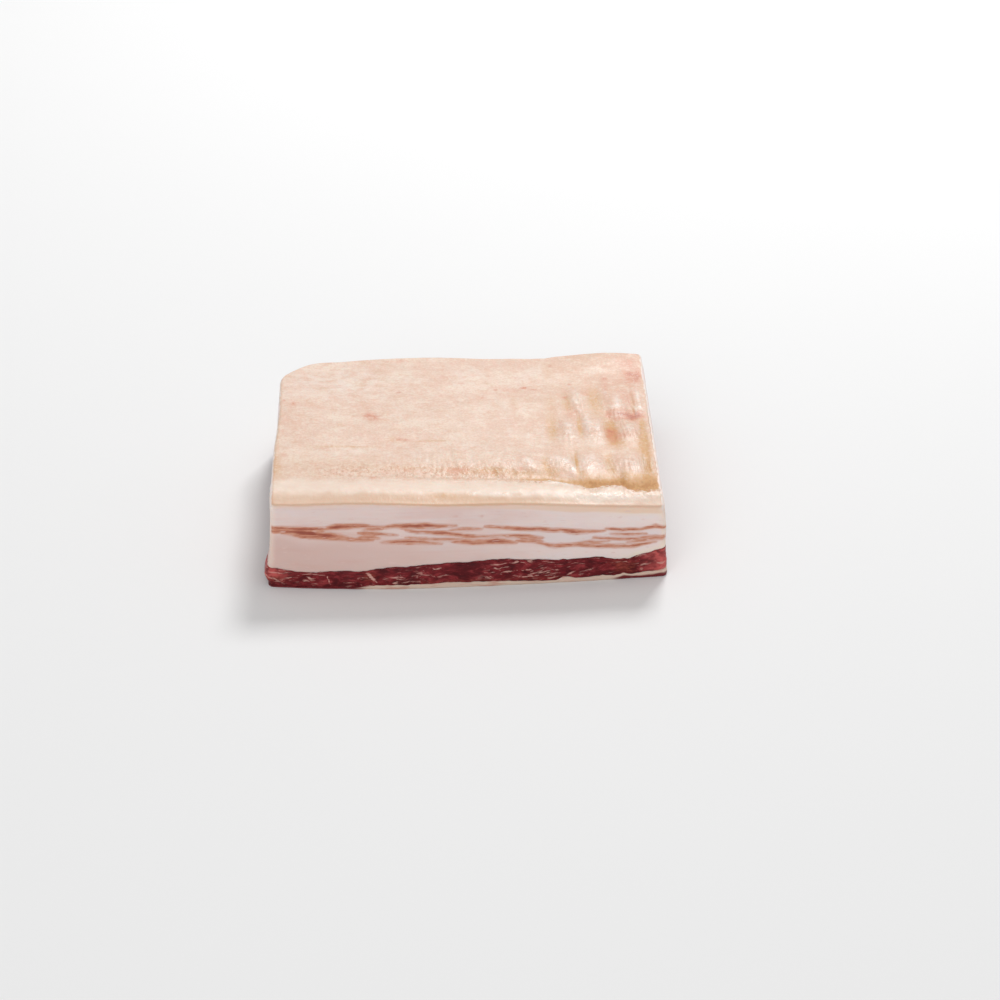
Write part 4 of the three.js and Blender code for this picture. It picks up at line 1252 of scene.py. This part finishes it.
    def store_rind(self, piece, x, y, wrinkles, pillows, is_top):
        """Keeps what the finish of the rind reads: its lip, creases, marks, coarse skin and gloss, and pale
        patches that are partly painted highlight.
        """
        behind = y - FRONT_CUT
        crease = crease_line(x)
        wander, fine = lumps("lip", x, y), lumps("lip_fine", x, y)
        right = ease(5, 45, x)
        torn = behind + 3.0 * fine + lumps("torn_edge", x, y)
        soft_back = ease(crease, crease - 9, behind + 4 * wander)
        back = mix(soft_back, ease(crease - 3.0, crease - 4.6, torn), right)
        strip = ease(mix(8.5, 5.0, right), mix(4.0, 1.5, right), behind + 1.6 * wander + 0.6 * fine)
        strip = strip * along_line(RIM_TAN, x)
        bank = ease(-20, -34, y) * ease(crease - 6, crease, behind) * ease(40, 0, x) * 0.30
        fold = 0.45 * bump(torn, crease - 6.8, 2.0) * right
        line = bump(torn, crease - 2.0, 2.2) + 0.60 * bump(behind, crease + 1.8, 2.6)
        marks = patches(AMBER, x, y)
        amber = np.where(behind < crease - 6, marks, marks * ease(crease - 4.8, crease - 3.0, torn))
        amber = amber + line * (0.45 * ease(12, 40, x) + 0.75 * ease(44, 56, x))
        amber = amber + 0.25 * line * ease(-30, 0, x) * ease(30, 14, x)
        amber = amber + 0.45 * wrinkles * ease(0, 3, behind - crease) - 0.10 * pillows
        warm = 0.20 * ease(30, -45, y) + 0.66 * ease(10, 55, x) + 0.35 * bump(x, 60, 22) * bump(y, 2, 22)
        warm = warm + patches(PEACH, x, y) - 0.35 * back * right
        specks = 0.75 * bump(y, -40, 6) * ease(-72, -50, x) * ease(35, 15, x)
        specks = specks + 0.9 * bump(behind, crease - 4.4, 1.8) * ease(0, 30, x)
        # pale patches, partly painted highlight over the pillow tops and the lip crest
        pale, coarse = patches(PALE_AND_HIGHLIGHTS, x, y), coarse_skin(x, y)
        wet = (0.06 + 0.30 * pale + 0.20 * coarse + 0.06 * ease(15, 50, x)) * ease(1.1, 0.4, amber)
        store(
            piece,
            is_top,
            # cream over the lip, partly its own colour, partly painted highlight of the crest
            lip=back * ease(0.5, mix(6.5, 3.0, right), behind + 1.5 * wander),
            tan=np.clip(strip + bank + fold, 0, 1),
            amber=np.clip(amber, 0, 1.3),
            warm=np.clip(warm, 0, 1.2),
            blush=patches(BLUSH, x, y),
            pale=pale,
            specks=np.clip(specks, 0, 1),
            smooth=np.clip(back + 0.8 * strip + amber * right, 0, 1),
            coarse=coarse,
            wet=np.clip(wet, 0, 0.5),
        )


class SLAB_OT_lean(bpy.types.Operator):
    """Model the layer of dark lean"""

    bl_idname = "slab.lean"
    bl_label = "Lean"

    around = 1100
    wall_rows = 24

    def execute(self, context):
        layer = Layer(
            "lean", self.around, self.wall_rows, "underside_top", "lean_top",
            draw_in=0.15, draw_power=0.35, relief=("lean", "lean_fine"),
        )
        along, level = front_place(layer.x, layer.y, layer.z, layer.shifted_x, "underside_top", "lean_top")
        near_front = ease(26, 4, layer.y + Block.half_depth + lumps("lean_ends", *layer.places))
        left_end = ease(-68, -80, layer.shifted_x) * ease(2.5, 6.0, layer.z)
        store(
            layer.piece,
            strokes=np.where(layer.on_wall, inside_lines(STROKES, along, level, 1.1, 0.4), OUTSIDE),
            brown=np.where(layer.on_wall, patches(BROWNS, along, level), 0),
            ends=np.clip(ease(68, 80, layer.shifted_x) + left_end, 0, 1) * near_front,
            # painted shade along the lean's top, where the fat above shades it
            edge=ease(0.93, 0.99, layer.up),
        )
        put_on(layer.piece, lean_finish(context.scene.slab_looks), "lean", "lean_meat")
        return {"FINISHED"}


class SLAB_OT_underside(bpy.types.Operator):
    """Model the fat and membrane on the underside"""

    bl_idname = "slab.underside"
    bl_label = "Underside"

    around = 900
    wall_rows = 8

    def execute(self, context):
        layer = Layer(
            "underside", self.around, self.wall_rows, None, "underside_top",
            draw_in=0.3, draw_power=0.5, relief=("underside",),
        )
        wander = lumps("membrane", *layer.places)
        fatty = ease(-46, -40, layer.shifted_x + 4 * wander)
        bare = ease(58, 63, layer.shifted_x) * ease(0.62, 0.50, layer.up + 0.15 * wander)
        store(layer.piece, fatty=fatty * (1 - bare))
        put_on(layer.piece, underside_finish(context.scene.slab_looks), "underside", "underside_fat")
        return {"FINISHED"}


class SLAB_OT_studio(bpy.types.Operator):
    """Make the floor, the lights and the camera"""

    bl_idname = "slab.studio"
    bl_label = "Studio"

    floor_size = 12.0
    key_place, key_size = (0.41, 1.13, 1.34), 0.5
    fill_place, fill_size = (-0.5, -1.6, 1.1), 1.4
    camera_place = (-0.027067, -0.979278, 0.550)
    camera_turn = (60.75, 0.0, -2.5)
    sensor_width = 36.0
    clip_end = 50.0

    def execute(self, context):
        looks = context.scene.studio_looks
        deselect_all()
        bpy.ops.mesh.primitive_plane_add(size=self.floor_size, location=(0, 0, 0))
        floor = bpy.context.object
        floor.name = floor.data.name = "studio_floor"
        floor.data.materials.append(floor_finish(looks.floor))
        self.area_light("key", self.key_place, self.key_size, looks.key_power)
        self.area_light("fill", self.fill_place, self.fill_size, looks.fill_power)
        self.surroundings(context.scene, looks.sky_strength)
        self.camera(context.scene, looks.lens)
        context.scene.view_settings.view_transform = "Standard"
        context.scene.view_settings.look = "None"
        return {"FINISHED"}

    def area_light(self, name, place, size, power):
        bpy.ops.object.light_add(type="AREA", location=place)
        light = bpy.context.object
        light.name = light.data.name = name
        light.data.size = size
        light.data.energy = power
        light.rotation_euler = (-Vector(place)).to_track_quat("-Z", "Y").to_euler()

    def surroundings(self, scene, strength):
        world = bpy.data.worlds.new("white_surroundings")
        world.use_nodes = True
        background = world.node_tree.nodes["Background"]
        background.inputs["Color"].default_value = (1, 1, 1, 1)
        background.inputs["Strength"].default_value = strength
        scene.world = world

    def camera(self, scene, lens):
        bpy.ops.object.camera_add(location=self.camera_place)
        camera = bpy.context.object
        camera.rotation_euler = [math.radians(angle) for angle in self.camera_turn]
        camera.data.lens = lens
        camera.data.sensor_width = self.sensor_width
        camera.data.clip_end = self.clip_end
        scene.camera = camera


class SLAB_PT_panel(bpy.types.Panel):
    """Lists the pieces of the slab"""

    bl_label = "Pork Belly Slab"
    bl_space_type = "VIEW_3D"
    bl_region_type = "UI"
    bl_category = "Pork Belly"

    def draw(self, context):
        for operator in OPERATORS:
            self.layout.operator(operator.bl_idname)


OPERATORS = (SLAB_OT_rind_and_fat, SLAB_OT_lean, SLAB_OT_underside, SLAB_OT_studio)
CLASSES = (SlabLooks, StudioLooks, *OPERATORS, SLAB_PT_panel)


def register():
    for made in CLASSES:
        bpy.utils.register_class(made)
    bpy.types.Scene.slab_looks = bpy.props.PointerProperty(type=SlabLooks)
    bpy.types.Scene.studio_looks = bpy.props.PointerProperty(type=StudioLooks)


def unregister():
    del bpy.types.Scene.slab_looks
    del bpy.types.Scene.studio_looks
    for made in reversed(CLASSES):
        bpy.utils.unregister_class(made)


def main():
    register()
    bpy.ops.slab.rind_and_fat()
    bpy.ops.slab.lean()
    bpy.ops.slab.underside()
    bpy.ops.slab.studio()


if __name__ == "__main__":
    main()
